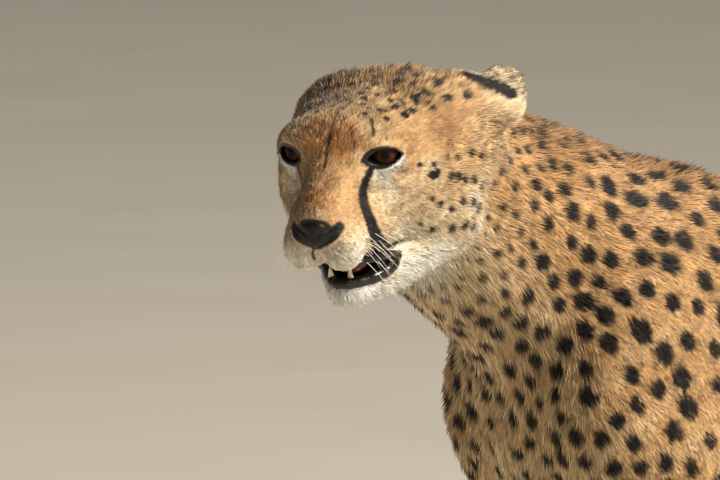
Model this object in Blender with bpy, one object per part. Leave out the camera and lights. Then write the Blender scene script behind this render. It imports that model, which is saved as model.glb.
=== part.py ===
"""A life-size cheetah, standing with its head turned to its left and its mouth a little open.

The animal faces -Y, its left side is +X and it stands on z = 0. Its flesh is one blended form: each
bone, muscle or pad is an ellipsoid or a tapered tube, written as a distance from its surface, and
neighbours flow into each other over a given blend. That form is meshed once, thinned, and parted by
plane cuts into the pieces a person would name. The outline is that of the coat.
"""

import math

import bmesh
import bpy
import numpy as np
import openvdb
from mathutils import Euler, Matrix, Vector

# Driving dimensions, in metres.
WITHERS = 0.775  # shoulder height
RUMP = 0.755  # height over the hips
CHEST_FLOOR = 0.485  # lowest line of the chest
EYE_OUT, EYE_BACK, EYE_UP = 0.0322, 0.0075, 0.0035  # an eye's centre, in the head's own axes
EYE_RADIUS = 0.0158
JAW_ASIDE, JAW_SLIM = 0.0050, 0.70  # the lower jaw hangs to the left, and its right half is narrower
SAW = 0.0005  # width of the thin cuts between the pieces
FIT = 0.0005  # clearance round an eye, a tooth or a claw in its socket
GRAIN = 0.0036  # spacing of the grid that the form is meshed on
FACES = 3000  # triangles that the thinned flesh keeps

# How the animal stands.
HEAD_AT = Vector((0.0906, -0.5993, 0.810))  # the point midway between the eyes
HEAD_YAW = math.radians(28)  # to its own left
HEAD_PITCH = math.radians(11)  # nose down
FORE_STEP = {"left": 0.020, "right": -0.050}  # how far each fore paw stands behind its shoulder
HIND_STEP = {"left": -0.040, "right": 0.055}
CENTRE = Vector((-0.0135, -0.072, 0))  # moves the middle of its outer box over the origin
SIDES = {"left": 1, "right": -1}

EAR_ROOTS = {"left": (0.0560, 0.1130, 0.0130), "right": (-0.0480, 0.1120, 0.0000)}

# Where the flesh is parted: heights and places along the body.
ELBOW, WRIST, HOCK = 0.470, 0.200, 0.232
LOIN, TAIL_BEND = 0.205, 0.620
TAIL_ROOT, TAIL_SLOPE = Vector((0, 0.455, 0.660)), Vector((0, 1, 0.3))
NECK_BASE, NECK_RISE = Vector((0, -0.350, 0.700)), Vector((0.10, -0.75, 0.65))
NAPE = 0.104  # behind the eyes, in the head's own axes

# Finishes: colour, roughness.
COAT = ((0.60, 0.40, 0.20, 1), 0.85)
PALE = ((0.74, 0.64, 0.50, 1), 0.85)
NOSE = ((0.020, 0.016, 0.015, 1), 0.35)
EYE = ((0.16, 0.060, 0.018, 1), 0.08)
TONGUE = ((0.42, 0.16, 0.14, 1), 0.45)
TOOTH = ((0.78, 0.70, 0.55, 1), 0.25)
CLAW = ((0.09, 0.07, 0.06, 1), 0.35)


# ---------------------------------------------------------------- the blended form


class Form:
    """Distances to a growing blend of shapes, sampled on a grid: negative inside, positive outside."""

    FAR = 0.06

    def __init__(self, low, high, step, frame=None):
        self.low, self.step = np.array(low), step
        self.size = np.ceil((np.array(high) - self.low) / step).astype(int) + 1
        self.field = np.full(self.size, self.FAR, np.float32)
        self.frame = frame or Matrix()

    def window(self, low, high):
        """The part of the grid between two corners, and its points as three broadcast arrays."""
        first = np.clip(np.floor((low - self.low) / self.step).astype(int), 0, self.size)
        last = np.clip(np.ceil((high - self.low) / self.step).astype(int) + 1, first, self.size)
        cut = tuple(slice(a, b) for a, b in zip(first, last))
        lines = [self.low[i] + self.step * np.arange(first[i], last[i]) for i in range(3)]
        return cut, np.ix_(*lines)

    def blend(self, cut, distance, over, take_away=False):
        """Smooth union, or smooth difference: a soft step of width `over` where both are close."""
        old = self.field[cut]
        new = -distance if take_away else distance
        sign = -1 if take_away else 1
        near = np.maximum(over - np.abs(old - new), 0) / over
        pick = np.maximum(old, new) if take_away else np.minimum(old, new)
        self.field[cut] = pick - sign * near * near * over / 4

    def ellipsoid(self, at, radii, tilt=(0, 0, 0), over=0.012, take_away=False):
        """Half sizes along its own axes, and a tilt in degrees about X, Y and Z."""
        turn = self.frame.to_3x3() @ Euler([math.radians(t) for t in tilt]).to_matrix()
        at, turn = np.array(self.frame @ Vector(at)), np.array(turn)
        reach = np.abs(turn) @ np.array(radii) + over + 2 * self.step
        cut, (x, y, z) = self.window(at - reach, at + reach)
        x, y, z = x - at[0], y - at[1], z - at[2]
        own = [(turn[0, i] * x + turn[1, i] * y + turn[2, i] * z) / radii[i] for i in range(3)]
        level = np.sqrt(sum(a * a for a in own)) + 1e-6
        slope = np.sqrt(sum((a / r) ** 2 for a, r in zip(own, radii))) / level + 1e-6
        self.blend(cut, (level - 1) / slope, over, take_away)

    def tube(self, knots, over=0.012, across=(1, 0, 0), rings=24):
        """A tapered tube through knots (x, y, z, half breadth, half depth), splined and round-ended.

        Breadth lies along `across` and depth at a right angle to it and to the path.
        """
        rows = spline(knots, rings)
        points = np.array([self.frame @ Vector(row[:3]) for row in rows])
        side = np.array(self.frame.to_3x3() @ Vector(across))
        most = rows[:, 3:].max() + over + 2 * self.step
        cut, (x, y, z) = self.window(points.min(0) - most, points.max(0) + most)
        distance = np.full(self.field[cut].shape, self.FAR, np.float32)
        for a, b, start, end in zip(points, points[1:], rows, rows[1:]):
            length = np.linalg.norm(b - a)
            along = (b - a) / length
            deep = np.cross(along, side)
            deep /= np.linalg.norm(deep)
            wide = np.cross(deep, along)
            run = along[0] * (x - a[0]) + along[1] * (y - a[1]) + along[2] * (z - a[2])
            t = np.clip(run / length, 0, 1)
            u = start[3] + (end[3] - start[3]) * t
            v = start[4] + (end[4] - start[4]) * t
            past = (run - t * length) / np.minimum(u, v)
            sideways = (wide[0] * (x - a[0]) + wide[1] * (y - a[1]) + wide[2] * (z - a[2])) / u
            deepways = (deep[0] * (x - a[0]) + deep[1] * (y - a[1]) + deep[2] * (z - a[2])) / v
            level = np.sqrt(sideways**2 + deepways**2 + past**2) + 1e-6
            slope = (sideways / u) ** 2 + (deepways / v) ** 2 + (past / np.minimum(u, v)) ** 2
            distance = np.minimum(distance, (level - 1) / (np.sqrt(slope) / level + 1e-6))
        self.blend(cut, distance, over)

    def barrel(self, rows, over=0.012, square=2.3):
        """A trunk along Y. Each row is (y, top, bottom, half breadth), splined, and rounded at the ends."""
        stations = spline(rows, 120)
        low = (-0.17, stations[0, 0] - 0.03, stations[:, 2].min() - 0.04)
        high = (0.17, stations[-1, 0] + 0.03, stations[:, 1].max() + 0.04)
        cut, (x, y, z) = self.window(np.array(low), np.array(high))
        top, bottom, wide = (np.interp(y, stations[:, 0], stations[:, i]) for i in (1, 2, 3))
        middle, deep = (top + bottom) / 2, (top - bottom) / 2
        a, b = np.abs(x) / wide, np.abs(z - middle) / deep
        level = (a**square + b**square) ** (1 / square) + 1e-6
        slope = np.hypot(a ** (square - 1) / wide, b ** (square - 1) / deep) / level ** (square - 1)
        past = np.maximum(stations[0, 0] - y, y - stations[-1, 0])
        self.blend(cut, np.maximum((level - 1) / (slope + 1e-6), past), over)

    def mesh(self, name, depth=0.0):
        """The surface where the distance is -depth."""
        grid = openvdb.FloatGrid(background=self.FAR)
        grid.copyFromArray(self.field)
        grid.transform = openvdb.createLinearTransform(voxelSize=self.step)
        points, quads = grid.convertToQuads(isovalue=-depth)
        mesh = bpy.data.meshes.new(name)
        mesh.from_pydata(points + self.low, [], quads.tolist())
        return mesh


def spline(knots, count):
    """A smooth run of `count` rows through the knots, by Catmull-Rom, each number on its own."""
    rows = np.asarray(knots, float)
    ends = np.vstack([2 * rows[0] - rows[1], rows, 2 * rows[-1] - rows[-2]])
    at = np.linspace(0, len(rows) - 1, count)
    leg = np.minimum(at.astype(int), len(rows) - 2)
    t = (at - leg)[:, None]
    a, b, c, d = (ends[leg + i] for i in range(4))
    bend = 2 * a - 5 * b + 4 * c - d
    swing = 3 * (b - c) + d - a
    return 0.5 * (2 * b + (c - a) * t + bend * t**2 + swing * t**3)


# ---------------------------------------------------------------- flesh


def head_frame():
    """The head's own axes: +X its left, -Y where it looks, origin midway between the eyes."""
    return Matrix.Translation(HEAD_AT) @ Euler((HEAD_PITCH, 0, HEAD_YAW), "XYZ").to_matrix().to_4x4()


def add_trunk(form):
    """Deep narrow chest, tucked waist, slightly arched loin."""
    rows = (
        (-0.349, 0.655, 0.590, 0.012),
        (-0.334, 0.700, 0.552, 0.042),
        (-0.308, 0.735, 0.522, 0.067),
        (-0.270, 0.762, 0.497, 0.088),
        (-0.200, WITHERS - 0.010, CHEST_FLOOR + 0.001, 0.095),
        (-0.110, 0.756, CHEST_FLOOR + 0.003, 0.103),
        (-0.010, 0.744, 0.503, 0.107),
        (0.080, 0.742, 0.530, 0.101),
        (0.165, 0.750, 0.560, 0.089),
        (0.245, RUMP, 0.580, 0.084),
        (0.320, 0.749, 0.585, 0.086),
        (0.385, 0.726, 0.596, 0.074),
        (0.430, 0.692, 0.618, 0.044),
    )
    form.barrel(rows, over=0.02)


def add_neck(form, frame):
    """From between the shoulders into the back of the skull, thick under the jaw."""
    nape = frame @ Vector((0, 0.112, -0.028))
    skull = frame @ Vector((0, 0.066, -0.024))
    throat = frame @ Vector((0, 0.094, -0.070))
    form.tube(
        (
            (0, -0.215, 0.676, 0.070, 0.096),
            (0.002, -0.325, 0.724, 0.068, 0.089),
            (0.016, -0.420, 0.766, 0.063, 0.078),
            (*nape, 0.059, 0.067),
            (*skull, 0.052, 0.052),
        ),
        over=0.035,
    )
    form.ellipsoid((0, -0.306, 0.628), (0.057, 0.044, 0.084), (-18, 0, 0), over=0.05)
    form.tube(
        (
            (0, -0.325, 0.640, 0.043, 0.036),
            (0.014, -0.396, 0.694, 0.043, 0.036),
            (*throat, 0.038, 0.032),
        ),
        over=0.035,
    )


def add_foreleg(form, side):
    """Shoulder blade, upper arm, elbow, forearm, wrist and pastern."""
    s, step = SIDES[side], FORE_STEP[side]
    form.tube(
        (
            (s * 0.044, -0.212, 0.746, 0.020, 0.034),
            (s * 0.060, -0.262, 0.680, 0.030, 0.056),
            (s * 0.067, -0.312, 0.600, 0.033, 0.046),
            (s * 0.073, -0.245 + 0.15 * step, 0.520, 0.034, 0.054),
        ),
        over=0.045,
    )
    form.ellipsoid((s * 0.068, -0.222, 0.580), (0.030, 0.060, 0.066), (-30, 0, 0), over=0.05)
    form.tube(
        (
            (s * 0.074, -0.236 + 0.2 * step, 0.505, 0.034, 0.049),
            (s * 0.077, -0.238 + 0.35 * step, 0.420, 0.031, 0.041),
            (s * 0.077, -0.248 + 0.6 * step, 0.310, 0.0245, 0.0285),
            (s * 0.076, -0.258 + 0.75 * step, 0.225, 0.0235, 0.0265),
            (s * 0.075, -0.262 + 0.85 * step, 0.180, 0.0215, 0.0235),
            (s * 0.075, -0.268 + 0.95 * step, 0.105, 0.0205, 0.0225),
            (s * 0.075, -0.278 + step, 0.052, 0.0250, 0.0270),
        ),
        over=0.022,
    )
    form.ellipsoid((s * 0.075, -0.236 + 0.75 * step, 0.196), (0.010, 0.011, 0.015), over=0.012)


def add_hindleg(form, side):
    """Thigh, knee, shank, hock and long foot."""
    s, step = SIDES[side], HIND_STEP[side]
    form.tube(
        (
            (s * 0.050, 0.285, 0.690, 0.034, 0.052),
            (s * 0.066, 0.318 + 0.1 * step, 0.620, 0.042, 0.092),
            (s * 0.076, 0.300 + 0.25 * step, 0.530, 0.036, 0.074),
            (s * 0.081, 0.286 + 0.35 * step, 0.455, 0.032, 0.054),
        ),
        over=0.05,
    )
    form.tube(
        (
            (s * 0.050, 0.392, 0.665, 0.030, 0.040),
            (s * 0.062, 0.392 + 0.15 * step, 0.590, 0.031, 0.048),
            (s * 0.073, 0.368 + 0.35 * step, 0.490, 0.028, 0.040),
            (s * 0.079, 0.362 + 0.6 * step, 0.400, 0.020, 0.024),
        ),
        over=0.045,
    )
    form.tube(
        (
            (s * 0.081, 0.298 + 0.35 * step, 0.455, 0.033, 0.056),
            (s * 0.081, 0.345 + 0.6 * step, 0.370, 0.0265, 0.040),
            (s * 0.079, 0.398 + 0.8 * step, 0.290, 0.0205, 0.0265),
            (s * 0.078, 0.424 + 0.9 * step, 0.245, 0.0215, 0.0265),
            (s * 0.077, 0.416 + 0.95 * step, 0.185, 0.0200, 0.0235),
            (s * 0.077, 0.398 + step, 0.105, 0.0198, 0.0218),
            (s * 0.077, 0.384 + step, 0.052, 0.0245, 0.0265),
        ),
        over=0.024,
    )
    form.ellipsoid((s * 0.078, 0.440 + 0.9 * step, 0.268), (0.011, 0.012, 0.026), (25, 0, 0), over=0.02)


def paw_at(limb, side):
    """The middle of a paw on the ground."""
    s = SIDES[side]
    if limb == "fore":
        return s * 0.075, -0.305 + FORE_STEP[side]
    return s * 0.077, 0.357 + HIND_STEP[side]


def add_paw(form, limb, side):
    """A round palm and four toes, the middle two furthest forward."""
    x, y = paw_at(limb, side)
    long = 0.034 if limb == "fore" else 0.031
    form.ellipsoid((x, y + 0.014, 0.0255), (0.0285, 0.036, 0.0285), over=0.014)
    for place in (-1.5, -0.5, 0.5, 1.5):
        reach = long - 0.0055 * place**2
        form.tube(
            (
                (x + place * 0.0125, y - 0.004, 0.029, 0.0105, 0.0125),
                (x + place * 0.0160, y - reach, 0.0175, 0.0108, 0.0130),
                (x + place * 0.0165, y - reach - 0.010, 0.0090, 0.0090, 0.0105),
            ),
            over=0.005,
            rings=10,
        )


def add_tail(form):
    """Hangs from the rump and turns up near its tip, clear of the ground."""
    knots = (
        (0, 0.360, 0.700, 0.034, 0.036),
        (0, 0.425, 0.678, 0.032, 0.033),
        (0.002, 0.474, 0.625, 0.0275, 0.0285),
        (0.010, 0.505, 0.540, 0.0235, 0.0240),
        (0.020, 0.525, 0.430, 0.0215, 0.0220),
        (0.028, 0.553, 0.320, 0.0215, 0.0220),
        (0.034, 0.605, 0.232, 0.0225, 0.0225),
        (0.036, 0.680, 0.196, 0.0235, 0.0235),
        (0.036, 0.750, 0.212, 0.0215, 0.0215),
        (0.036, 0.790, 0.240, 0.0125, 0.0125),
    )
    form.tube(knots, over=0.030, rings=40)


def add_head(form, frame):
    """Small round skull, high flat brow, short muzzle. All places are in the head's own axes."""
    form.frame = frame
    form.ellipsoid((0, 0.046, -0.009), (0.052, 0.066, 0.046), (-2, 0, 0), over=0.020)
    form.ellipsoid((0, 0.010, 0.003), (0.039, 0.033, 0.031), over=0.014)
    form.ellipsoid((0, 0.090, -0.026), (0.056, 0.042, 0.048), over=0.030)
    bridge = (
        (0, 0.006, 0.002, 0.0250, 0.0190),
        (0, -0.024, -0.014, 0.0205, 0.0185),
        (0, -0.050, -0.034, 0.0180, 0.0180),
    )
    form.tube(bridge, over=0.018, rings=12)
    for s in SIDES.values():
        form.ellipsoid((s * 0.0325, 0.050, -0.006), (0.0250, 0.041, 0.032), (0, s * 14, 0), over=0.016)
        form.ellipsoid((s * 0.0260, 0.002, 0.0160), (0.0210, 0.019, 0.0100), (0, s * 12, s * -14), over=0.014)
        form.ellipsoid((s * 0.0315, 0.034, -0.022), (0.0220, 0.037, 0.028), (0, 0, s * 16), over=0.020)
        form.ellipsoid((s * 0.0390, 0.068, -0.038), (0.0285, 0.040, 0.043), over=0.030)
        form.ellipsoid((s * 0.0390, 0.100, 0.008), (0.0200, 0.030, 0.0230), over=0.030)
        cheek = (
            (s * 0.0130, -0.040, -0.046, 0.0160, 0.0200),
            (s * 0.0220, -0.008, -0.045, 0.0185, 0.0235),
            (s * 0.0345, 0.028, -0.040, 0.0225, 0.0255),
        )
        form.tube(cheek, over=0.014, rings=12)
        form.ellipsoid((s * 0.0140, -0.0445, -0.0552), (0.0162, 0.0208, 0.0185), (6, 0, s * 14), over=0.008)
    for s, slim in ((1, 1.0), (-1, JAW_SLIM)):
        jaw = (
            (s * 0.0370, 0.062, -0.0620, 0.0200, 0.0260),
            (s * slim * 0.0310 + 0.5 * JAW_ASIDE, 0.028, -0.0830, 0.0155 + 0.0005 * s, 0.0175),
            (s * slim * 0.0170 + JAW_ASIDE, 0.001, -0.0930, 0.0118, 0.0125),
            (s * slim * 0.0055 + JAW_ASIDE, -0.017, -0.0975, 0.0105, 0.0100),
        )
        form.tube(jaw, over=0.005, rings=12)
    form.ellipsoid((JAW_ASIDE, -0.0185, -0.0985), (0.0130, 0.0150, 0.0102), over=0.008)
    form.ellipsoid((JAW_ASIDE, 0.028, -0.0930), (0.028, 0.052, 0.019), (-10, 0, 0), over=0.018)
    for s in SIDES.values():
        form.ellipsoid((s * 0.0390, 0.078, -0.068), (0.0230, 0.038, 0.026), over=0.035)
        form.ellipsoid((s * 0.0560, 0.122, -0.012), (0.0200, 0.030, 0.0260), over=0.035)
    form.ellipsoid((0, -0.010, -0.0800), (0.0205, 0.0360, 0.0085), (-11, 0, 0), over=0.004, take_away=True)
    for s in SIDES.values():
        form.ellipsoid((s * EYE_OUT, EYE_BACK, EYE_UP), (EYE_RADIUS + 0.0036,) * 3, over=0.006)
        slot = (s * 0.0335, -0.0150, EYE_UP)
        form.ellipsoid(slot, (0.0160, 0.0200, 0.0078), (0, s * -10, s * 18), over=0.004, take_away=True)
    for side in SIDES:
        form.ellipsoid(EAR_ROOTS[side], (0.0200, 0.0210, 0.0180), over=0.020)
    form.frame = Matrix()


def ear_axes(side):
    """A turned-back ear's own axes: +X to its tip, +Z the way it opens, origin at its middle."""
    at, tip, opening = {
        "left": ((0.0800, 0.1256, 0.0196), (0.108, 0.817, 0.564), (-0.51, 0.53, -0.67)),
        "right": ((-0.0560, 0.128, -0.002), (-0.30, 0.90, 0.30), (0.45, 0.40, -0.75)),
    }[side]
    tip, opening = Vector(tip).normalized(), Vector(opening)
    opening = (opening - opening.dot(tip) * tip).normalized()
    turn = Matrix((tip, opening.cross(tip), opening)).transposed().to_4x4()
    return Matrix.Translation(at) @ turn


def ear_form():
    """A short round cup, thick at its root. In the ear's own axes."""
    form = Form((-0.048, -0.032, -0.026), (0.036, 0.032, 0.026), 0.0017)
    form.ellipsoid((0, 0, 0), (0.0215, 0.0190, 0.0080), over=0.006)
    form.ellipsoid((-0.0150, 0.004, 0.0020), (0.0150, 0.0165, 0.0105), over=0.014)
    form.ellipsoid((0.003, 0, 0.0080), (0.0160, 0.0135, 0.0090), over=0.003, take_away=True)
    return form


def flesh_form():
    frame = head_frame()
    form = Form((-0.150, -0.700, -0.010), (0.180, 0.830, 0.920), GRAIN)
    add_trunk(form)
    add_neck(form, frame)
    for side in SIDES:
        add_foreleg(form, side)
        add_hindleg(form, side)
        for limb in ("fore", "hind"):
            add_paw(form, limb, side)
    add_tail(form)
    add_head(form, frame)
    return form


# ---------------------------------------------------------------- small pieces


def spike(base, tip, radius, sag, sides=8, rings=6, grow=0.0):
    """A curved cone from base to tip that bows by `sag`, closed at both ends and grown by `grow`."""
    base, tip, sag = Vector(base), Vector(tip), Vector(sag)
    along = (tip - base).normalized()
    u = along.orthogonal().normalized()
    v = along.cross(u)
    bm = bmesh.new()
    hoops = []
    for i in range(rings):
        t = i / rings
        middle = base.lerp(tip, t) + sag * 4 * t * (1 - t) - along * grow * (1 - t)
        width = radius * (1 - t**1.6) + grow
        turns = [2 * math.pi * j / sides for j in range(sides)]
        hoops.append([bm.verts.new(middle + width * (math.cos(a) * u + math.sin(a) * v)) for a in turns])
    point = bm.verts.new(tip + along * grow)
    for near, far in zip(hoops, hoops[1:]):
        for j in range(sides):
            k = (j + 1) % sides
            bm.faces.new((near[j], near[k], far[k], far[j]))
    for j in range(sides):
        bm.faces.new((hoops[-1][j], hoops[-1][(j + 1) % sides], point))
    bm.faces.new(hoops[0])
    bmesh.ops.recalc_face_normals(bm, faces=bm.faces)
    return bm


def ball(at, radii, segments=14, rings=9, frame=None):
    """An ellipsoid with its three half sizes."""
    bm = bmesh.new()
    bmesh.ops.create_uvsphere(bm, u_segments=segments, v_segments=rings, radius=1)
    bm.transform((frame or Matrix()) @ Matrix.Translation(at) @ Matrix.Diagonal((*radii, 1)))
    return bm


def add_nose_outline(form):
    """A rounded wedge, broad at the top, narrow below, with a thin wing curling up and out on each side."""
    form.ellipsoid((0, -0.0600, -0.0378), (0.0114, 0.0092, 0.0074), (-24, 0, 0), over=0.006)
    form.ellipsoid((0, -0.0607, -0.0458), (0.0056, 0.0080, 0.0072), over=0.006)
    for s in SIDES.values():
        wing = (
            (s * 0.0062, -0.0630, -0.0448, 0.0052, 0.0048),
            (s * 0.0130, -0.0600, -0.0422, 0.0042, 0.0036),
            (s * 0.0170, -0.0568, -0.0378, 0.0026, 0.0024),
        )
        form.tube(wing, over=0.0025, across=(0, 1, 0), rings=10)


def nose_pad(grow=0.0):
    """The pad, with a slanting nostril in each wing. In the head's own axes."""
    form = Form((-0.030, -0.085, -0.070), (0.030, -0.040, -0.020), 0.0011)
    add_nose_outline(form)
    for s in SIDES.values():
        hole = (s * 0.0085, -0.0705, -0.0458)
        if grow == 0:
            form.ellipsoid(hole, (0.0040, 0.0050, 0.0022), (0, s * -38, 0), over=0.002, take_away=True)
    return form.mesh("nose", depth=-grow)


def tongue_form():
    """Lies along the floor of the mouth with its tip behind the lower lip. In the head's own axes."""
    form = Form((-0.030, -0.060, -0.110), (0.030, 0.050, -0.060), 0.0016)
    knots = (
        (0, 0.018, -0.0745, 0.0150, 0.0060),
        (0.7 * JAW_ASIDE, 0.002, -0.0810, 0.0108, 0.0045),
        (0.9 * JAW_ASIDE, -0.011, -0.0842, 0.0078, 0.0028),
    )
    form.tube(knots, over=0.004, rings=12)
    return form


def incisors(up):
    """A low curved ridge between the canines, in the upper jaw or the lower. In the head's own axes."""
    form = Form((-0.020, -0.065, -0.100), (0.024, -0.015, -0.055), 0.0010)
    aside, y, z, half = (0, -0.0465, -0.0655, 0.0066) if up else (0.0030, -0.0270, -0.0895, 0.0026)
    end, thick = y + 0.0020, (0.0014, 0.0034)
    knots = ((aside - half, end, z, *thick), (aside, y, z, *thick), (aside + half, end, z, *thick))
    form.tube(knots, over=0.001, across=(0, 1, 0), rings=8)
    return form


def teeth():
    """Name, base, tip, root radius and bow of each canine and of the small teeth between them."""
    found = []
    for side, s in SIDES.items():
        upper = ((s * 0.0125, -0.0410, -0.0620), (s * 0.0130, -0.0440, -0.0750), 0.0034, (0, -0.0012, 0))
        root, tip = (s * 0.0075 + 0.0030, -0.0250, -0.0900), (s * 0.0080 + 0.0030, -0.0260, -0.0755)
        lower = (root, tip, 0.0030, (0, -0.0012, 0))
        found.append((f"upper_canine_{side}", *upper))
        found.append((f"lower_canine_{side}", *lower))
    return found


def claws():
    """Name, base, tip, root radius and bow of the claw on each of the sixteen toes."""
    found = []
    for limb, long in (("fore", 0.034), ("hind", 0.031)):
        for side in SIDES:
            x, y = paw_at(limb, side)
            for number, place in enumerate((-1.5, -0.5, 0.5, 1.5), 1):
                front = y - long + 0.0055 * place**2 - 0.010
                base = (x + place * 0.0165, front - 0.0030, 0.0135)
                tip = (x + place * 0.0172, front - 0.0170, 0.0045)
                found.append((f"claw_{limb}_{side}_{number}", base, tip, 0.0028, (0, -0.0008, 0.0022)))
    return found


# ---------------------------------------------------------------- parting the flesh


def saw(bm, at, normal, width=SAW):
    """Two closed halves of a mesh, each short of the plane by half the width of the cut."""
    normal = Vector(normal).normalized()
    halves = []
    for sign in (1, -1):
        half = bm.copy()
        geometry = half.verts[:] + half.edges[:] + half.faces[:]
        plane = Vector(at) + normal * sign * width / 2
        bmesh.ops.bisect_plane(half, geom=geometry, plane_co=plane, plane_no=-normal * sign, clear_outer=True)
        rim = [edge for edge in half.edges if edge.is_boundary]
        bmesh.ops.holes_fill(half, edges=rim, sides=0)
        bmesh.ops.triangulate(half, faces=[face for face in half.faces if len(face.verts) > 4])
        halves.append(half)
    return halves


def lumps(bm):
    """Each connected body of a mesh as its own mesh, with its middle."""
    left, found = set(bm.verts), []
    while left:
        stack = [left.pop()]
        group = set(stack)
        while stack:
            for edge in stack.pop().link_edges:
                for vert in edge.verts:
                    if vert not in group:
                        group.add(vert)
                        stack.append(vert)
        left -= group
        part = bm.copy()
        part.verts.ensure_lookup_table()
        keep = {vert.index for vert in group}
        bmesh.ops.delete(part, geom=[v for v in part.verts if v.index not in keep], context="VERTS")
        low = Vector(min(v.co[i] for v in part.verts) for i in range(3))
        high = Vector(max(v.co[i] for v in part.verts) for i in range(3))
        found.append((part, (low + high) / 2))
    return found


def part_flesh(whole):
    """Named pieces of the flesh, as bmeshes, by a few plane cuts from the soles upwards."""
    pieces = {}
    whole = saw(whole, (0, 0, -SAW / 2), (0, 0, 1))[0]
    upper, lower = saw(whole, (0, 0, ELBOW), (0, 0, 1))
    for limb, middle in lumps(lower):
        side = "left" if middle.x > 0 else "right"
        if middle.y > 0.480:
            far, near = saw(limb, (0, TAIL_BEND, 0), (0, 1, 0))
            pieces["tail_middle"], pieces["tail_tip"] = near, far
        elif middle.y < 0:
            high, low = saw(limb, (0, 0, WRIST), (0, 0, 1))
            pieces[f"fore_leg_{side}"], pieces[f"fore_paw_{side}"] = high, low
        else:
            high, low = saw(limb, (0, 0, HOCK), (0, 0, 1))
            pieces[f"hind_leg_{side}"], pieces[f"hind_paw_{side}"] = high, low
    pieces["tail_root"], upper = saw(upper, TAIL_ROOT, TAIL_SLOPE)
    pieces["hindquarters"], upper = saw(upper, (0, LOIN, 0), (0, 1, 0))
    upper, pieces["torso"] = saw(upper, NECK_BASE, NECK_RISE)
    frame = head_frame()
    back = frame.to_3x3() @ Vector((0, 1, 0))
    pieces["neck"], pieces["head"] = saw(upper, frame @ Vector((0, NAPE, 0)), back)
    return pieces


# ---------------------------------------------------------------- the scene


def clear_scene():
    for old in list(bpy.data.objects):
        bpy.data.objects.remove(old, do_unlink=True)


def collection(name, shown=True):
    made = bpy.data.collections.new(name)
    made.hide_render = not shown
    bpy.context.scene.collection.children.link(made)
    return made


def finish(name, colour, roughness):
    made = bpy.data.materials.new(name)
    made.use_nodes = True
    shader = made.node_tree.nodes["Principled BSDF"]
    shader.inputs["Base Color"].default_value = colour
    shader.inputs["Roughness"].default_value = roughness
    shader.inputs["Metallic"].default_value = 0.0
    return made


def add_object(name, shape, where, look=None):
    """A new object from a mesh or a bmesh."""
    mesh = shape
    if isinstance(shape, bmesh.types.BMesh):
        mesh = bpy.data.meshes.new(name)
        shape.to_mesh(mesh)
        shape.free()
    made = bpy.data.objects.new(name, mesh)
    where.objects.link(made)
    if look:
        mesh.materials.clear()
        mesh.materials.append(look)
        mesh.shade_smooth()
    return made


def add_cutter(name, shape, where, target):
    """A hidden shape whose space is taken out of the target."""
    made = add_object(name, shape, where)
    made.hide_render = True
    made.display_type = "WIRE"
    cut = target.modifiers.new(name, "BOOLEAN")
    cut.operation = "DIFFERENCE"
    cut.object = made
    return made


def thinned(mesh, faces):
    """The mesh with its faces collapsed to about this number of triangles, most where it bends most."""
    helper = bpy.data.objects.new("helper", mesh)
    bpy.context.scene.collection.objects.link(helper)
    thin = helper.modifiers.new("thin", "DECIMATE")
    thin.ratio = faces / (2 * len(mesh.polygons))
    graph = bpy.context.evaluated_depsgraph_get()
    made = bpy.data.meshes.new_from_object(helper.evaluated_get(graph), depsgraph=graph)
    bpy.data.objects.remove(helper, do_unlink=True)
    return made


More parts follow.
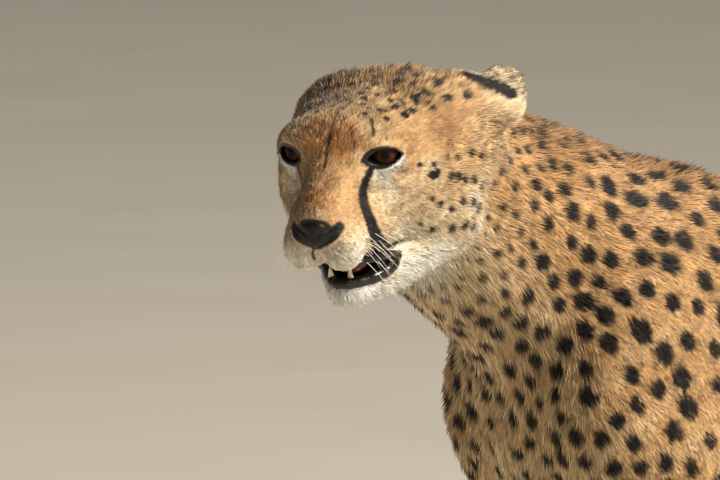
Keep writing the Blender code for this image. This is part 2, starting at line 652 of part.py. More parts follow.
def main():
    clear_scene()
    animal, cutters = collection("cheetah"), collection("cutters", shown=False)
    looks = {
        name: finish(name, *look)
        for name, look in (
            ("coat", COAT),
            ("pale_coat", PALE),
            ("nose_leather", NOSE),
            ("eye_amber", EYE),
            ("tongue_flesh", TONGUE),
            ("tooth_enamel", TOOTH),
            ("claw_horn", CLAW),
        )
    }
    frame = head_frame()
    whole = bmesh.new()
    whole.from_mesh(thinned(flesh_form().mesh("flesh"), FACES))
    flesh = {}
    for name, piece in part_flesh(whole).items():
        flesh[name] = add_object(name, piece, animal, looks["coat"])
    head = flesh["head"]

    for side, s in SIDES.items():
        at = (s * EYE_OUT, EYE_BACK, EYE_UP)
        add_object(f"eye_{side}", ball(at, (EYE_RADIUS,) * 3, frame=frame), animal, looks["eye_amber"])
        socket = ball(at, (EYE_RADIUS + FIT,) * 3, frame=frame)
        add_cutter(f"socket_{side}", socket, cutters, head)

    for side in SIDES:
        place = frame @ ear_axes(side)
        ear = thinned(ear_form().mesh(f"ear_{side}"), 260)
        ear.transform(place)
        add_object(f"ear_{side}", ear, animal, looks["coat"])
        for target in ("head", "neck"):
            space = thinned(ear_form().mesh("ear_space", depth=-FIT - 0.0003), 220)
            space.transform(place)
            add_cutter(f"ear_space_{side}_{target}", space, cutters, flesh[target])

    nose = thinned(nose_pad(), 220)
    nose.transform(frame)
    add_object("nose", nose, animal, looks["nose_leather"])
    space = thinned(nose_pad(grow=FIT + 0.0003), 200)
    space.transform(frame)
    add_cutter("nose_space", space, cutters, head)

    tongue = thinned(tongue_form().mesh("tongue"), 110)
    tongue.transform(frame)
    add_object("tongue", tongue, animal, looks["tongue_flesh"])
    space = thinned(tongue_form().mesh("tongue_space", depth=-FIT - 0.0003), 110)
    space.transform(frame)
    add_cutter("tongue_space", space, cutters, head)

    for name, *shape in teeth():
        tooth, socket = spike(*shape, sides=7, rings=5), spike(*shape, sides=7, rings=5, grow=FIT)
        for bm in (tooth, socket):
            bm.transform(frame)
        add_object(name, tooth, animal, looks["tooth_enamel"])
        add_cutter(f"{name}_socket", socket, cutters, head)

    for name, up in (("upper_incisors", True), ("lower_incisors", False)):
        row = thinned(incisors(up).mesh(name), 90)
        row.transform(frame)
        add_object(name, row, animal, looks["tooth_enamel"])
        space = thinned(incisors(up).mesh(f"{name}_space", depth=-FIT - 0.0002), 80)
        space.transform(frame)
        add_cutter(f"{name}_space", space, cutters, head)

    for name, *shape in claws():
        paw = flesh["_".join((name.split("_")[1], "paw", name.split("_")[2]))]
        add_object(name, spike(*shape, sides=6, rings=4), animal, looks["claw_horn"])
        add_cutter(f"{name}_socket", spike(*shape, sides=6, rings=4, grow=FIT), cutters, paw)

    stand = bpy.data.objects.new("stand", None)
    animal.objects.link(stand)
    for piece in list(animal.objects) + list(cutters.objects):
        if piece is not stand:
            piece.parent = stand
    stand.location = CENTRE


main()
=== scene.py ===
"""The looks of the standing cheetah: one skin, a coat of small tufts, eyes, nose, mouth, whiskers and claws.

The construction's rounded shapes are repeated here on a grid that is fine round the face, so that one skin
runs without a seam from the nose to the tail. A table of guide hairs says how the coat lies, how long it
is and how deep. The markings are worked out once, as a function of place, and skin and tufts both carry
them. Lengths are in metres. The animal faces -Y, its left is +X, and it stands on z = 0.
"""

import math

import bmesh
import bpy
import numpy as np
import openvdb
from mathutils import Euler, Matrix, Vector


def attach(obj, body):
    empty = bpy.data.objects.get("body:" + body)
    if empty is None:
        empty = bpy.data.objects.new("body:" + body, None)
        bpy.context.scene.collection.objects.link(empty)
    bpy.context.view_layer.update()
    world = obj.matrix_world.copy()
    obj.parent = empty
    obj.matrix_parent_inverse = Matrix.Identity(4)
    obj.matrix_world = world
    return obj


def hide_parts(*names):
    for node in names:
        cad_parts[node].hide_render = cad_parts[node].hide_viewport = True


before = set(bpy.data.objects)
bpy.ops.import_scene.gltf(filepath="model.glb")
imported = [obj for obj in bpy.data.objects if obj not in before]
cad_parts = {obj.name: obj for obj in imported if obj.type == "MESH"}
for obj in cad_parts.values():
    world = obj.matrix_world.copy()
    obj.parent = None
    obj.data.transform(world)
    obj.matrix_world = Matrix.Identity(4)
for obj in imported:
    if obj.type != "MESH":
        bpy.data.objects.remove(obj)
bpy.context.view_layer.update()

# ---------------------------------------------------------------- dimensions, as in the construction

WITHERS, RUMP, CHEST_FLOOR = 0.775, 0.755, 0.485
EYE_OUT, EYE_BACK, EYE_UP, EYE_RADIUS = 0.0322, 0.0075, 0.0035, 0.0158
HEAD_AT = Vector((0.0906, -0.5993, 0.810))
JAW_ASIDE, JAW_SLIM = 0.0050, 0.70  # the lower jaw hangs to the left, and its right half is narrower
HEAD_YAW, HEAD_PITCH = math.radians(28), math.radians(11)
FORE_STEP = {"left": 0.020, "right": -0.050}
HIND_STEP = {"left": -0.040, "right": 0.055}
CENTRE = np.array((-0.0135, -0.072, 0), np.float32)  # moves finished places to the construction's origin
SIDES = {"left": 1, "right": -1}
LIMBS = ("fore", "hind")
TOE_PLACES = (-1.5, -0.5, 0.5, 1.5)  # across a paw, in spacings of a toe
TOE_BACK = 0.0055  # a toe stands back by this times its place squared
PAW_LONG = {"fore": 0.034, "hind": 0.031}  # from the middle of a paw forward to its foremost toe
LOWER_TEETH_ASIDE = 0.0030  # how far the lower front teeth stand to the left, on the jaw

HEAD = Matrix.Translation(HEAD_AT) @ Euler((HEAD_PITCH, 0, HEAD_YAW), "XYZ").to_matrix().to_4x4()
HEAD_TURN = np.array(HEAD.to_3x3(), np.float32)

FINE = 1.0
COAT_TRIANGLES = 1_400_000
PIECE_TRIANGLES = 190_000  # the most that one piece of the coat may hold
random = np.random.default_rng(7)


def single(values):
    """An array of single precision, as all the fields of points use."""
    return np.array(values, np.float32)


def in_head(points):
    """Places in the head's own axes: +X its left, -Y where it looks, origin midway between the eyes."""
    return (points - single(HEAD_AT)) @ HEAD_TURN


def from_head(points):
    return np.asarray(points, np.float32) @ HEAD_TURN.T + single(HEAD_AT)


def smooth(low, high, value):
    """0 below low, 1 above high, with an S-shaped ramp between. low may be the larger."""
    t = np.clip((value - low) / (high - low), 0, 1)
    return t * t * (3 - 2 * t)


def unit(vectors):
    return vectors / np.maximum(np.linalg.norm(vectors, axis=-1, keepdims=True), 1e-9)


def waves(points, length, seed):
    """Soft noise, mostly from -1 to 1: a sum of five sine waves of about this length, in any direction."""
    draw = np.random.default_rng(seed)
    total = 0
    for _ in range(5):
        heading = draw.normal(size=3)
        heading *= 2 * math.pi / (length * draw.uniform(0.7, 1.4) * np.linalg.norm(heading))
        total = total + np.sin(points @ heading.astype(np.float32) + draw.uniform(0, 6.3))
    return total / 2.6


def spline(knots, count):
    """A smooth run of `count` rows through the knots, by Catmull-Rom, each number on its own."""
    rows = np.asarray(knots, float)
    ends = np.vstack([2 * rows[0] - rows[1], rows, 2 * rows[-1] - rows[-2]])
    at = np.linspace(0, len(rows) - 1, count)
    leg = np.minimum(at.astype(int), len(rows) - 2)
    t = (at - leg)[:, None]
    a, b, c, d = (ends[leg + i] for i in range(4))
    bend = 2 * a - 5 * b + 4 * c - d
    swing = 3 * (b - c) + d - a
    return 0.5 * (2 * b + (c - a) * t + bend * t**2 + swing * t**3)


# ---------------------------------------------------------------- the blended form


class Flesh:
    """Distances from many points to a growing blend of shapes: negative inside, positive outside."""

    FAR = 0.06

    def __init__(self, points):
        self.points = points
        self.field = np.full(len(points), self.FAR, np.float32)
        self.frame = Matrix()
        self.everywhere()

    def everywhere(self):
        self.pool, self.pool_points = np.arange(len(self.points)), self.points

    def only_near(self, at, reach):
        """Looks, from here on, only at the points within a box round a place."""
        self.everywhere()
        low, high = np.array(at) - reach, np.array(at) + reach
        self.pool, self.pool_points = self.near(low, high)

    def near(self, low, high):
        low, high = np.asarray(low, np.float32), np.asarray(high, np.float32)
        inside = ((self.pool_points > low) & (self.pool_points < high)).all(1)
        return self.pool[inside], self.pool_points[inside]

    def blend(self, index, distance, over, take_away=False):
        """Smooth union, or smooth difference: a soft step of width `over` where both are close."""
        old = self.field[index]
        new = -distance if take_away else distance
        sign = -1 if take_away else 1
        near = np.maximum(over - np.abs(old - new), 0) / over
        pick = np.maximum(old, new) if take_away else np.minimum(old, new)
        self.field[index] = pick - sign * near * near * over / 4

    def ellipsoid(self, at, radii, tilt=(0, 0, 0), over=0.012, take_away=False):
        """Half sizes along its own axes, and a tilt in degrees about X, Y and Z."""
        turn = self.frame.to_3x3() @ Euler([math.radians(t) for t in tilt]).to_matrix()
        at, turn = single(self.frame @ Vector(at)), single(turn)
        radii = single(radii)
        reach = np.abs(turn) @ radii + over + 0.004
        index, p = self.near(at - reach, at + reach)
        own = (p - at) @ turn / radii
        level = np.linalg.norm(own, axis=1) + 1e-6
        slope = np.linalg.norm(own / radii, axis=1) / level + 1e-6
        self.blend(index, (level - 1) / slope, over, take_away)

    def tube(self, knots, over=0.012, across=(1, 0, 0), rings=48, take_away=False):
        """A tapered tube through knots (x, y, z, half breadth, half depth), splined and round-ended.

        A point looks at the two stretches that meet at its nearest ring. Breadth lies along `across`.
        """
        rows = spline(knots, rings).astype(np.float32)
        middles = single([self.frame @ Vector(row[:3]) for row in rows.tolist()])
        side = single(self.frame.to_3x3() @ Vector(across))
        most = rows[:, 3:].max() + over + 0.004
        index, p = self.near(middles.min(0) - most, middles.max(0) + most)
        along = np.diff(middles, axis=0)
        length = np.linalg.norm(along, axis=1)
        along /= length[:, None]
        deep = unit(np.cross(along, side))
        wide = np.cross(deep, along)
        ring = ((middles**2).sum(1) - 2 * p @ middles.T).argmin(1)
        distance = np.full(len(p), self.FAR, np.float32)
        for back in (1, 0):
            leg = np.clip(ring - back, 0, rings - 2)
            away = p - middles[leg]
            run = (away * along[leg]).sum(1)
            t = np.clip(run / length[leg], 0, 1)
            u = rows[leg, 3] + (rows[leg + 1, 3] - rows[leg, 3]) * t
            v = rows[leg, 4] + (rows[leg + 1, 4] - rows[leg, 4]) * t
            thin = np.minimum(u, v)
            past = (run - t * length[leg]) / thin
            sideways = (away * wide[leg]).sum(1) / u
            deepways = (away * deep[leg]).sum(1) / v
            level = np.sqrt(sideways**2 + deepways**2 + past**2) + 1e-6
            slope = np.sqrt((sideways / u) ** 2 + (deepways / v) ** 2 + (past / thin) ** 2) / level + 1e-6
            distance = np.minimum(distance, (level - 1) / slope)
        self.blend(index, distance, over, take_away)

    def barrel(self, rows, over):
        """A trunk along Y. Each row is (y, top, bottom, half breadth), splined, and rounded at the ends."""
        square = 2.3  # 2 would be an ellipse, and more is squarer
        stations = spline(rows, 120)
        low = (-0.17, stations[0, 0] - 0.03, stations[:, 2].min() - 0.04)
        high = (0.17, stations[-1, 0] + 0.03, stations[:, 1].max() + 0.04)
        index, p = self.near(low, high)
        x, y, z = p.T
        top, bottom, wide = (np.interp(y, stations[:, 0], stations[:, i]) for i in (1, 2, 3))
        middle, deep = (top + bottom) / 2, (top - bottom) / 2
        a, b = np.abs(x) / wide, np.abs(z - middle) / deep
        level = (a**square + b**square) ** (1 / square) + 1e-6
        slope = np.hypot(a ** (square - 1) / wide, b ** (square - 1) / deep) / level ** (square - 1)
        past = np.maximum(stations[0, 0] - y, y - stations[-1, 0])
        self.blend(index, np.maximum((level - 1) / (slope + 1e-6), past), over)


# ---------------------------------------------------------------- flesh, as in the construction

TAIL = (
    (0, 0.360, 0.700, 0.034, 0.036),
    (0, 0.425, 0.678, 0.032, 0.033),
    (0.002, 0.474, 0.625, 0.0275, 0.0285),
    (0.010, 0.505, 0.540, 0.0235, 0.0240),
    (0.020, 0.525, 0.430, 0.0215, 0.0220),
    (0.028, 0.553, 0.320, 0.0215, 0.0220),
    (0.034, 0.605, 0.232, 0.0225, 0.0225),
    (0.036, 0.680, 0.196, 0.0235, 0.0235),
    (0.036, 0.750, 0.212, 0.0215, 0.0215),
    (0.036, 0.790, 0.240, 0.0125, 0.0125),
)


def add_trunk(flesh):
    """Deep narrow chest, tucked waist, slightly arched loin."""
    rows = (
        (-0.349, 0.655, 0.590, 0.012),
        (-0.334, 0.700, 0.552, 0.042),
        (-0.308, 0.735, 0.522, 0.067),
        (-0.270, 0.762, 0.497, 0.088),
        (-0.200, WITHERS - 0.010, CHEST_FLOOR + 0.001, 0.095),
        (-0.110, 0.756, CHEST_FLOOR + 0.003, 0.103),
        (-0.010, 0.744, 0.503, 0.107),
        (0.080, 0.742, 0.530, 0.101),
        (0.165, 0.750, 0.560, 0.089),
        (0.245, RUMP, 0.580, 0.084),
        (0.320, 0.749, 0.585, 0.086),
        (0.385, 0.726, 0.596, 0.074),
        (0.430, 0.692, 0.618, 0.044),
    )
    flesh.barrel(rows, over=0.02)


def add_neck(flesh):
    """From between the shoulders into the back of the skull, thick under the jaw."""
    nape = HEAD @ Vector((0, 0.112, -0.028))
    skull = HEAD @ Vector((0, 0.066, -0.024))
    throat = HEAD @ Vector((0, 0.094, -0.070))
    flesh.tube(
        (
            (0, -0.215, 0.676, 0.070, 0.096),
            (0.002, -0.325, 0.724, 0.068, 0.089),
            (0.016, -0.420, 0.766, 0.063, 0.078),
            (*nape, 0.059, 0.067),
            (*skull, 0.052, 0.052),
        ),
        over=0.035,
    )
    flesh.ellipsoid((0, -0.306, 0.628), (0.057, 0.044, 0.084), (-18, 0, 0), over=0.05)
    flesh.tube(
        (
            (0, -0.325, 0.640, 0.043, 0.036),
            (0.014, -0.396, 0.694, 0.043, 0.036),
            (*throat, 0.038, 0.032),
        ),
        over=0.035,
    )


def add_foreleg(flesh, side):
    """Shoulder blade, upper arm, elbow, forearm, wrist and pastern."""
    s, step = SIDES[side], FORE_STEP[side]
    flesh.tube(
        (
            (s * 0.044, -0.212, 0.746, 0.020, 0.034),
            (s * 0.060, -0.262, 0.680, 0.030, 0.056),
            (s * 0.067, -0.312, 0.600, 0.033, 0.046),
            (s * 0.073, -0.245 + 0.15 * step, 0.520, 0.034, 0.054),
        ),
        over=0.045,
    )
    flesh.ellipsoid((s * 0.068, -0.222, 0.580), (0.030, 0.060, 0.066), (-30, 0, 0), over=0.05)
    flesh.tube(
        (
            (s * 0.074, -0.236 + 0.2 * step, 0.505, 0.034, 0.049),
            (s * 0.077, -0.238 + 0.35 * step, 0.420, 0.031, 0.041),
            (s * 0.077, -0.248 + 0.6 * step, 0.310, 0.0245, 0.0285),
            (s * 0.076, -0.258 + 0.75 * step, 0.225, 0.0235, 0.0265),
            (s * 0.075, -0.262 + 0.85 * step, 0.180, 0.0215, 0.0235),
            (s * 0.075, -0.268 + 0.95 * step, 0.105, 0.0205, 0.0225),
            (s * 0.075, -0.278 + step, 0.052, 0.0250, 0.0270),
        ),
        over=0.022,
    )
    flesh.ellipsoid((s * 0.075, -0.236 + 0.75 * step, 0.196), (0.010, 0.011, 0.015), over=0.012)


def add_hindleg(flesh, side):
    """Thigh, knee, shank, hock and long foot."""
    s, step = SIDES[side], HIND_STEP[side]
    flesh.tube(
        (
            (s * 0.050, 0.285, 0.690, 0.034, 0.052),
            (s * 0.066, 0.318 + 0.1 * step, 0.620, 0.042, 0.092),
            (s * 0.076, 0.300 + 0.25 * step, 0.530, 0.036, 0.074),
            (s * 0.081, 0.286 + 0.35 * step, 0.455, 0.032, 0.054),
        ),
        over=0.05,
    )
    flesh.tube(
        (
            (s * 0.050, 0.392, 0.665, 0.030, 0.040),
            (s * 0.062, 0.392 + 0.15 * step, 0.590, 0.031, 0.048),
            (s * 0.073, 0.368 + 0.35 * step, 0.490, 0.028, 0.040),
            (s * 0.079, 0.362 + 0.6 * step, 0.400, 0.020, 0.024),
        ),
        over=0.045,
    )
    flesh.tube(
        (
            (s * 0.081, 0.298 + 0.35 * step, 0.455, 0.033, 0.056),
            (s * 0.081, 0.345 + 0.6 * step, 0.370, 0.0265, 0.040),
            (s * 0.079, 0.398 + 0.8 * step, 0.290, 0.0205, 0.0265),
            (s * 0.078, 0.424 + 0.9 * step, 0.245, 0.0215, 0.0265),
            (s * 0.077, 0.416 + 0.95 * step, 0.185, 0.0200, 0.0235),
            (s * 0.077, 0.398 + step, 0.105, 0.0198, 0.0218),
            (s * 0.077, 0.384 + step, 0.052, 0.0245, 0.0265),
        ),
        over=0.024,
    )
    flesh.ellipsoid((s * 0.078, 0.440 + 0.9 * step, 0.268), (0.011, 0.012, 0.026), (25, 0, 0), over=0.02)


def paw_at(limb, side):
    """The middle of a paw on the ground."""
    s = SIDES[side]
    if limb == "fore":
        return s * 0.075, -0.305 + FORE_STEP[side]
    return s * 0.077, 0.357 + HIND_STEP[side]


def add_paw(flesh, limb, side):
    """A round palm and four toes, the middle two furthest forward."""
    x, y = paw_at(limb, side)
    flesh.only_near((x, y, 0.03), (0.06, 0.08, 0.06))
    flesh.ellipsoid((x, y + 0.014, 0.0255), (0.0285, 0.036, 0.0285), over=0.014)
    for place in TOE_PLACES:
        reach = PAW_LONG[limb] - TOE_BACK * place**2
        flesh.tube(
            (
                (x + place * 0.0125, y - 0.004, 0.029, 0.0105, 0.0125),
                (x + place * 0.0160, y - reach, 0.0175, 0.0108, 0.0130),
                (x + place * 0.0165, y - reach - 0.010, 0.0090, 0.0090, 0.0105),
            ),
            over=0.005,
            rings=20,
        )
    flesh.everywhere()


def add_head(flesh):
    """Small round skull, high flat brow, short muzzle. All places are in the head's own axes."""
    flesh.ellipsoid((0, 0.046, -0.009), (0.052, 0.066, 0.046), (-2, 0, 0), over=0.020)
    flesh.ellipsoid((0, 0.010, 0.003), (0.039, 0.033, 0.031), over=0.014)
    flesh.ellipsoid((0, 0.090, -0.026), (0.056, 0.042, 0.048), over=0.030)
    bridge = (
        (0, 0.006, 0.002, 0.0250, 0.0190),
        (0, -0.024, -0.014, 0.0205, 0.0185),
        (0, -0.050, -0.034, 0.0180, 0.0180),
    )
    flesh.tube(bridge, over=0.018, rings=24)
    for s in SIDES.values():
        flesh.ellipsoid((s * 0.0325, 0.050, -0.006), (0.0250, 0.041, 0.032), (0, s * 14, 0), over=0.016)
        brow = (0.0210, 0.019, 0.0100)
        flesh.ellipsoid((s * 0.0260, 0.002, 0.0160), brow, (0, s * 12, s * -14), over=0.014)
        flesh.ellipsoid((s * 0.0315, 0.034, -0.022), (0.0220, 0.037, 0.028), (0, 0, s * 16), over=0.020)
        flesh.ellipsoid((s * 0.0390, 0.068, -0.038), (0.0285, 0.040, 0.043), over=0.030)
        flesh.ellipsoid((s * 0.0390, 0.100, 0.008), (0.0200, 0.030, 0.0230), over=0.030)
        cheek = (
            (s * 0.0130, -0.040, -0.046, 0.0160, 0.0200),
            (s * 0.0220, -0.008, -0.045, 0.0185, 0.0235),
            (s * 0.0345, 0.028, -0.040, 0.0225, 0.0255),
        )
        flesh.tube(cheek, over=0.014, rings=24)
        pad = (0.0162, 0.0208, 0.0185)
        flesh.ellipsoid((s * 0.0140, -0.0445, -0.0552), pad, (6, 0, s * 14), over=0.008)
    for s, slim in ((1, 1.0), (-1, JAW_SLIM)):
        jaw = (
            (s * 0.0370, 0.062, -0.0620, 0.0200, 0.0260),
            (s * slim * 0.0310 + 0.5 * JAW_ASIDE, 0.028, -0.0830, 0.0155 + 0.0005 * s, 0.0175),
            (s * slim * 0.0170 + JAW_ASIDE, 0.001, -0.0930, 0.0118, 0.0125),
            (s * slim * 0.0055 + JAW_ASIDE, -0.017, -0.0975, 0.0105, 0.0100),
        )
        flesh.tube(jaw, over=0.005, rings=24)
    flesh.ellipsoid((JAW_ASIDE, -0.0185, -0.0985), (0.0130, 0.0150, 0.0102), over=0.008)
    flesh.ellipsoid((JAW_ASIDE, 0.028, -0.0930), (0.028, 0.052, 0.019), (-10, 0, 0), over=0.018)
    for s in SIDES.values():
        flesh.ellipsoid((s * 0.0390, 0.078, -0.068), (0.0230, 0.038, 0.026), over=0.035)
        flesh.ellipsoid((s * 0.0560, 0.122, -0.012), (0.0200, 0.030, 0.0260), over=0.035)
    flesh.ellipsoid((0, -0.010, -0.0800), (0.0205, 0.0360, 0.0085), (-11, 0, 0), over=0.004, take_away=True)
    for s in SIDES.values():
        flesh.ellipsoid((s * EYE_OUT, EYE_BACK, EYE_UP), (EYE_RADIUS + 0.0036,) * 3, over=0.006)


def ear_axes(side):
    """A turned-back ear's own axes: +X to its tip, +Z the way it opens, origin at its middle."""
    at, tip, opening = {
        "left": ((0.0800, 0.1256, 0.0196), (0.108, 0.817, 0.564), (-0.51, 0.53, -0.67)),
        "right": ((-0.0560, 0.128, -0.002), (-0.30, 0.90, 0.30), (0.45, 0.40, -0.75)),
    }[side]
    tip, opening = Vector(tip).normalized(), Vector(opening)
    opening = (opening - opening.dot(tip) * tip).normalized()
    turn = Matrix((tip, opening.cross(tip), opening)).transposed().to_4x4()
    return Matrix.Translation(at) @ turn


EAR_ROOTS = {"left": (0.0560, 0.1130, 0.0130), "right": (-0.0480, 0.1120, 0.0000)}


def add_ear(flesh):
    """A short round cup, thick at its root. In the ear's own axes."""
    flesh.ellipsoid((0, 0, 0), (0.0215, 0.0190, 0.0080), over=0.006)
    flesh.ellipsoid((-0.0150, 0.004, 0.0020), (0.0150, 0.0165, 0.0105), over=0.014)
    flesh.ellipsoid((0.003, 0, 0.0080), (0.0160, 0.0135, 0.0090), over=0.003, take_away=True)


def flesh_field(points):
    """The outline's distance at each point, made of every shape of the animal."""
    flesh = Flesh(points)
    add_trunk(flesh)
    add_neck(flesh)
    for side in SIDES:
        add_foreleg(flesh, side)
        add_hindleg(flesh, side)
        for limb in LIMBS:
            add_paw(flesh, limb, side)
    flesh.tube(TAIL, over=0.030, rings=80)
    flesh.only_near(HEAD @ Vector((0, 0.04, -0.03)), 0.19)
    flesh.frame = HEAD
    add_head(flesh)
    for side in SIDES:
        flesh.ellipsoid(EAR_ROOTS[side], (0.0200, 0.0210, 0.0180), over=0.020)
    for side in SIDES:
        flesh.frame = HEAD @ ear_axes(side)
        add_ear(flesh)
    return flesh.field


# ---------------------------------------------------------------- guide hairs

# In the head's own axes, left side: place, heading, then in millimetres the coat's length and depth, then
# how golden it is (0 white, 1 golden, above that brown) and the half size of the spots there (0 for none).
FACE_GUIDES = (
    ((0, -0.058, -0.030), (0, 0.7, 0.7), 2.4, 0.8, 1.25, 0),
    ((0, -0.040, -0.014), (0, 0.7, 0.7), 3.2, 1.0, 1.18, 0),
    ((0, -0.018, 0.004), (0, 0.5, 0.85), 3.2, 1.0, 1.00, 0),
    ((0.004, 0.004, 0.032), (0.1, 0.7, 0.7), 5.4, 1.7, 0.95, 0),
    ((0.030, -0.012, 0.024), (0.35, 0.5, 0.8), 4.1, 1.3, 0.80, 0),
    ((0.012, 0.030, 0.040), (0.1, 0.95, 0.3), 6.6, 2.5, 0.88, 3.0),
    ((0.030, 0.070, 0.036), (0.15, 0.95, 0.0), 8.2, 3.4, 1.05, 3.2),
    ((0, 0.105, 0.022), (0, 0.95, -0.3), 11.5, 5.0, 1.10, 3.6),
    ((0.050, 0.012, 0.010), (0.4, 0.9, 0.15), 3.8, 1.2, 1.15, 0),
    ((0.036, -0.014, -0.020), (0.5, 0.8, -0.35), 3.0, 0.8, 0.40, 0),
    ((0.052, 0.022, -0.022), (0.2, 0.95, -0.25), 5.0, 1.7, 0.66, 0),
    ((0.062, 0.060, -0.020), (0.1, 0.95, -0.25), 7.4, 3.4, 0.88, 0),
    ((0.058, 0.060, 0.005), (0.1, 0.95, -0.05), 6.6, 2.9, 1.30, 0),
    ((0.060, 0.080, -0.060), (0.05, 0.8, -0.6), 9.0, 3.6, 0.40, 0),
    ((0.020, -0.030, -0.026), (0.5, 0.8, -0.2), 2.8, 0.8, 1.08, 0),
    ((0.026, -0.044, -0.052), (0.7, 0.65, -0.3), 3.4, 0.9, 0.48, 0),
    ((0.010, -0.066, -0.060), (0.55, 0.2, -0.8), 2.9, 0.7, 0.25, 0),
    ((0.045, 0.010, -0.060), (0.25, 0.9, -0.35), 5.8, 2.2, 0.38, 0),
    ((0.040, 0.030, -0.095), (0.1, 0.9, -0.4), 8.2, 2.9, 0.05, 0),
    ((0.010, -0.042, -0.100), (0.2, 0.3, -0.9), 5.8, 1.2, 0.00, 0),
    ((0.008, -0.010, -0.112), (0.05, 0.95, -0.3), 6.6, 2.2, 0.00, 0),
    ((0, 0.050, -0.110), (0, 0.9, -0.45), 11.5, 5.0, 0.15, 0),
    ((0, 0.100, -0.095), (0, 0.8, -0.6), 16.2, 5.9, 0.20, 0),
    ((0.060, 0.120, -0.030), (0.05, 0.9, -0.4), 9.0, 4.0, 0.78, 0),
    ((0.085, 0.125, 0.022), (0.74, 0.54, 0.36), 4.1, 1.0, 0.45, 0),
    ((0.062, 0.108, 0.012), (0.60, 0.60, 0.30), 6.6, 2.5, 0.90, 0),
)

# In the animal's axes, left side: the same for the body.
BODY_GUIDES = (
    ((0.030, -0.440, 0.815), (0, 0.93, -0.35), 11.0, 5.4, 1.44, 4.6),
    ((0.060, -0.440, 0.780), (0, 0.85, -0.5), 9.0, 3.7, 1.09, 5.0),
    ((0.020, -0.360, 0.790), (0, 0.95, -0.25), 14.0, 6.2, 1.44, 4.8),
    ((0.068, -0.350, 0.730), (0, 0.75, -0.65), 8.0, 3.4, 1.00, 6.2),
    ((0.020, -0.445, 0.715), (0, 0.45, -0.9), 12.0, 4.9, 0.58, 4.8),
    ((0.030, -0.400, 0.650), (0.05, 0.3, -0.95), 12.0, 4.9, 0.73, 5.5),
    ((0.020, -0.375, 0.570), (0, 0.35, -0.93), 11.0, 4.3, 0.78, 5.5),
    ((0.055, -0.280, 0.750), (0, 0.8, -0.6), 7.0, 2.5, 1.14, 6.8),
    ((0, -0.240, 0.775), (0, 1.0, -0.1), 12.0, 5.4, 1.44, 6.0),
    ((0.090, -0.280, 0.650), (0, 0.6, -0.8), 5.5, 2.3, 1.00, 7.2),
    ((0.095, -0.230, 0.560), (0, 0.35, -0.93), 5.5, 2.1, 0.95, 6.5),
    ((0.095, -0.090, 0.640), (0, 0.9, -0.43), 6.2, 2.3, 1.00, 7.6),
    ((0.050, -0.100, 0.755), (0, 0.97, -0.2), 7.0, 2.3, 1.12, 7.0),
    ((0.030, -0.100, 0.490), (0, 0.95, 0), 10.0, 3.1, 0.25, 0.0),
    ((0.100, 0.060, 0.630), (0, 0.93, -0.35), 6.2, 2.3, 1.00, 7.8),
    ((0.040, 0.100, 0.745), (0, 0.98, -0.1), 6.2, 2.3, 1.12, 7.2),
    ((0.030, 0.120, 0.540), (0, 0.95, -0.1), 11.0, 3.1, 0.20, 0.0),
    ((0.085, 0.230, 0.650), (0, 0.85, -0.5), 6.2, 2.3, 1.00, 7.8),
    ((0.040, 0.320, 0.745), (0, 0.97, -0.25), 6.2, 2.3, 1.12, 7.2),
    ((0.100, 0.320, 0.600), (0, 0.5, -0.85), 5.5, 2.1, 1.00, 7.8),
    ((0.040, 0.420, 0.640), (0, 0.5, -0.85), 5.5, 2.1, 0.95, 6.5),
    ((0.100, 0.320, 0.500), (0, 0.35, -0.93), 5.5, 1.9, 0.95, 6.8),
    ((0.020, 0.240, 0.570), (0, 0.7, -0.7), 7.0, 1.9, 0.25, 0.0),
)

# Down each leg: height, place along the body, length and depth of the coat, colour and spots.
FORE_GUIDES = (
    (0.42, -0.238, 10, 3.5, 0.92, 5.6),
    (0.31, -0.248, 8, 3.0, 0.85, 4.6),
    (0.20, -0.260, 7, 2.5, 0.78, 3.8),
    (0.10, -0.268, 6, 2.0, 0.72, 2.6),
)
HIND_GUIDES = (
    (0.38, 0.340, 10, 3.5, 0.92, 5.6),
    (0.29, 0.398, 8, 3.0, 0.85, 4.6),
    (0.20, 0.416, 7, 2.5, 0.78, 3.8),
    (0.10, 0.398, 6, 2.0, 0.72, 2.6),
)
PLACE, HEADING = [0, 1, 2], [3, 4, 5]  # columns of a guide
LONG, DEPTH, GOLD, SPOT = 6, 7, 8, 9


def mirrored(guides):
    """Each guide on the left, and again on the right."""
    rows = np.array([[*at, *way, *rest] for at, way, *rest in guides])
    flip = np.array((-1, 1, 1, -1, 1, 1, 1, 1, 1, 1))
    return np.vstack([rows, rows * flip])


def guide_hairs():
    """All guides in the animal's axes."""
    head = mirrored(FACE_GUIDES)
    head[:, PLACE], head[:, HEADING] = from_head(head[:, PLACE]), head[:, HEADING] @ HEAD_TURN.T
    rows = [head, mirrored(BODY_GUIDES)]
    for side, s in SIDES.items():
        for guides, step, hip in ((FORE_GUIDES, FORE_STEP[side], 0.5), (HIND_GUIDES, HIND_STEP[side], 0.6)):
            for z, y, *rest in guides:
                rows.append([[s * 0.077, y + step * 1.8 * (hip - z), z, 0, 0.05, -1, *rest]])
        for limb in LIMBS:
            x, y = paw_at(limb, side)
            rows.append([[x, y, 0.050, 0, -0.5, -0.8, 4.5, 1.5, 0.70, 0]])
            rows.append([[x, y - 0.035, 0.02, 0, -0.6, -0.8, 3.5, 1.2, 0.6, 0]])
    tail = spline(TAIL, 16)[2:]
    count = len(tail)
    long = np.interp(np.arange(count), (0, 9, 13), (11, 12, 20))
    depth, gold, spot = (np.full(count, value) for value in (3.5, 1.0, 5.5))
    rows.append(np.column_stack([tail[:, :3], np.gradient(tail[:, :3], axis=0), long, depth, gold, spot]))
    guides = np.vstack(rows).astype(np.float32)
    guides[:, HEADING] = unit(guides[:, HEADING])
    return guides


GUIDES = guide_hairs()


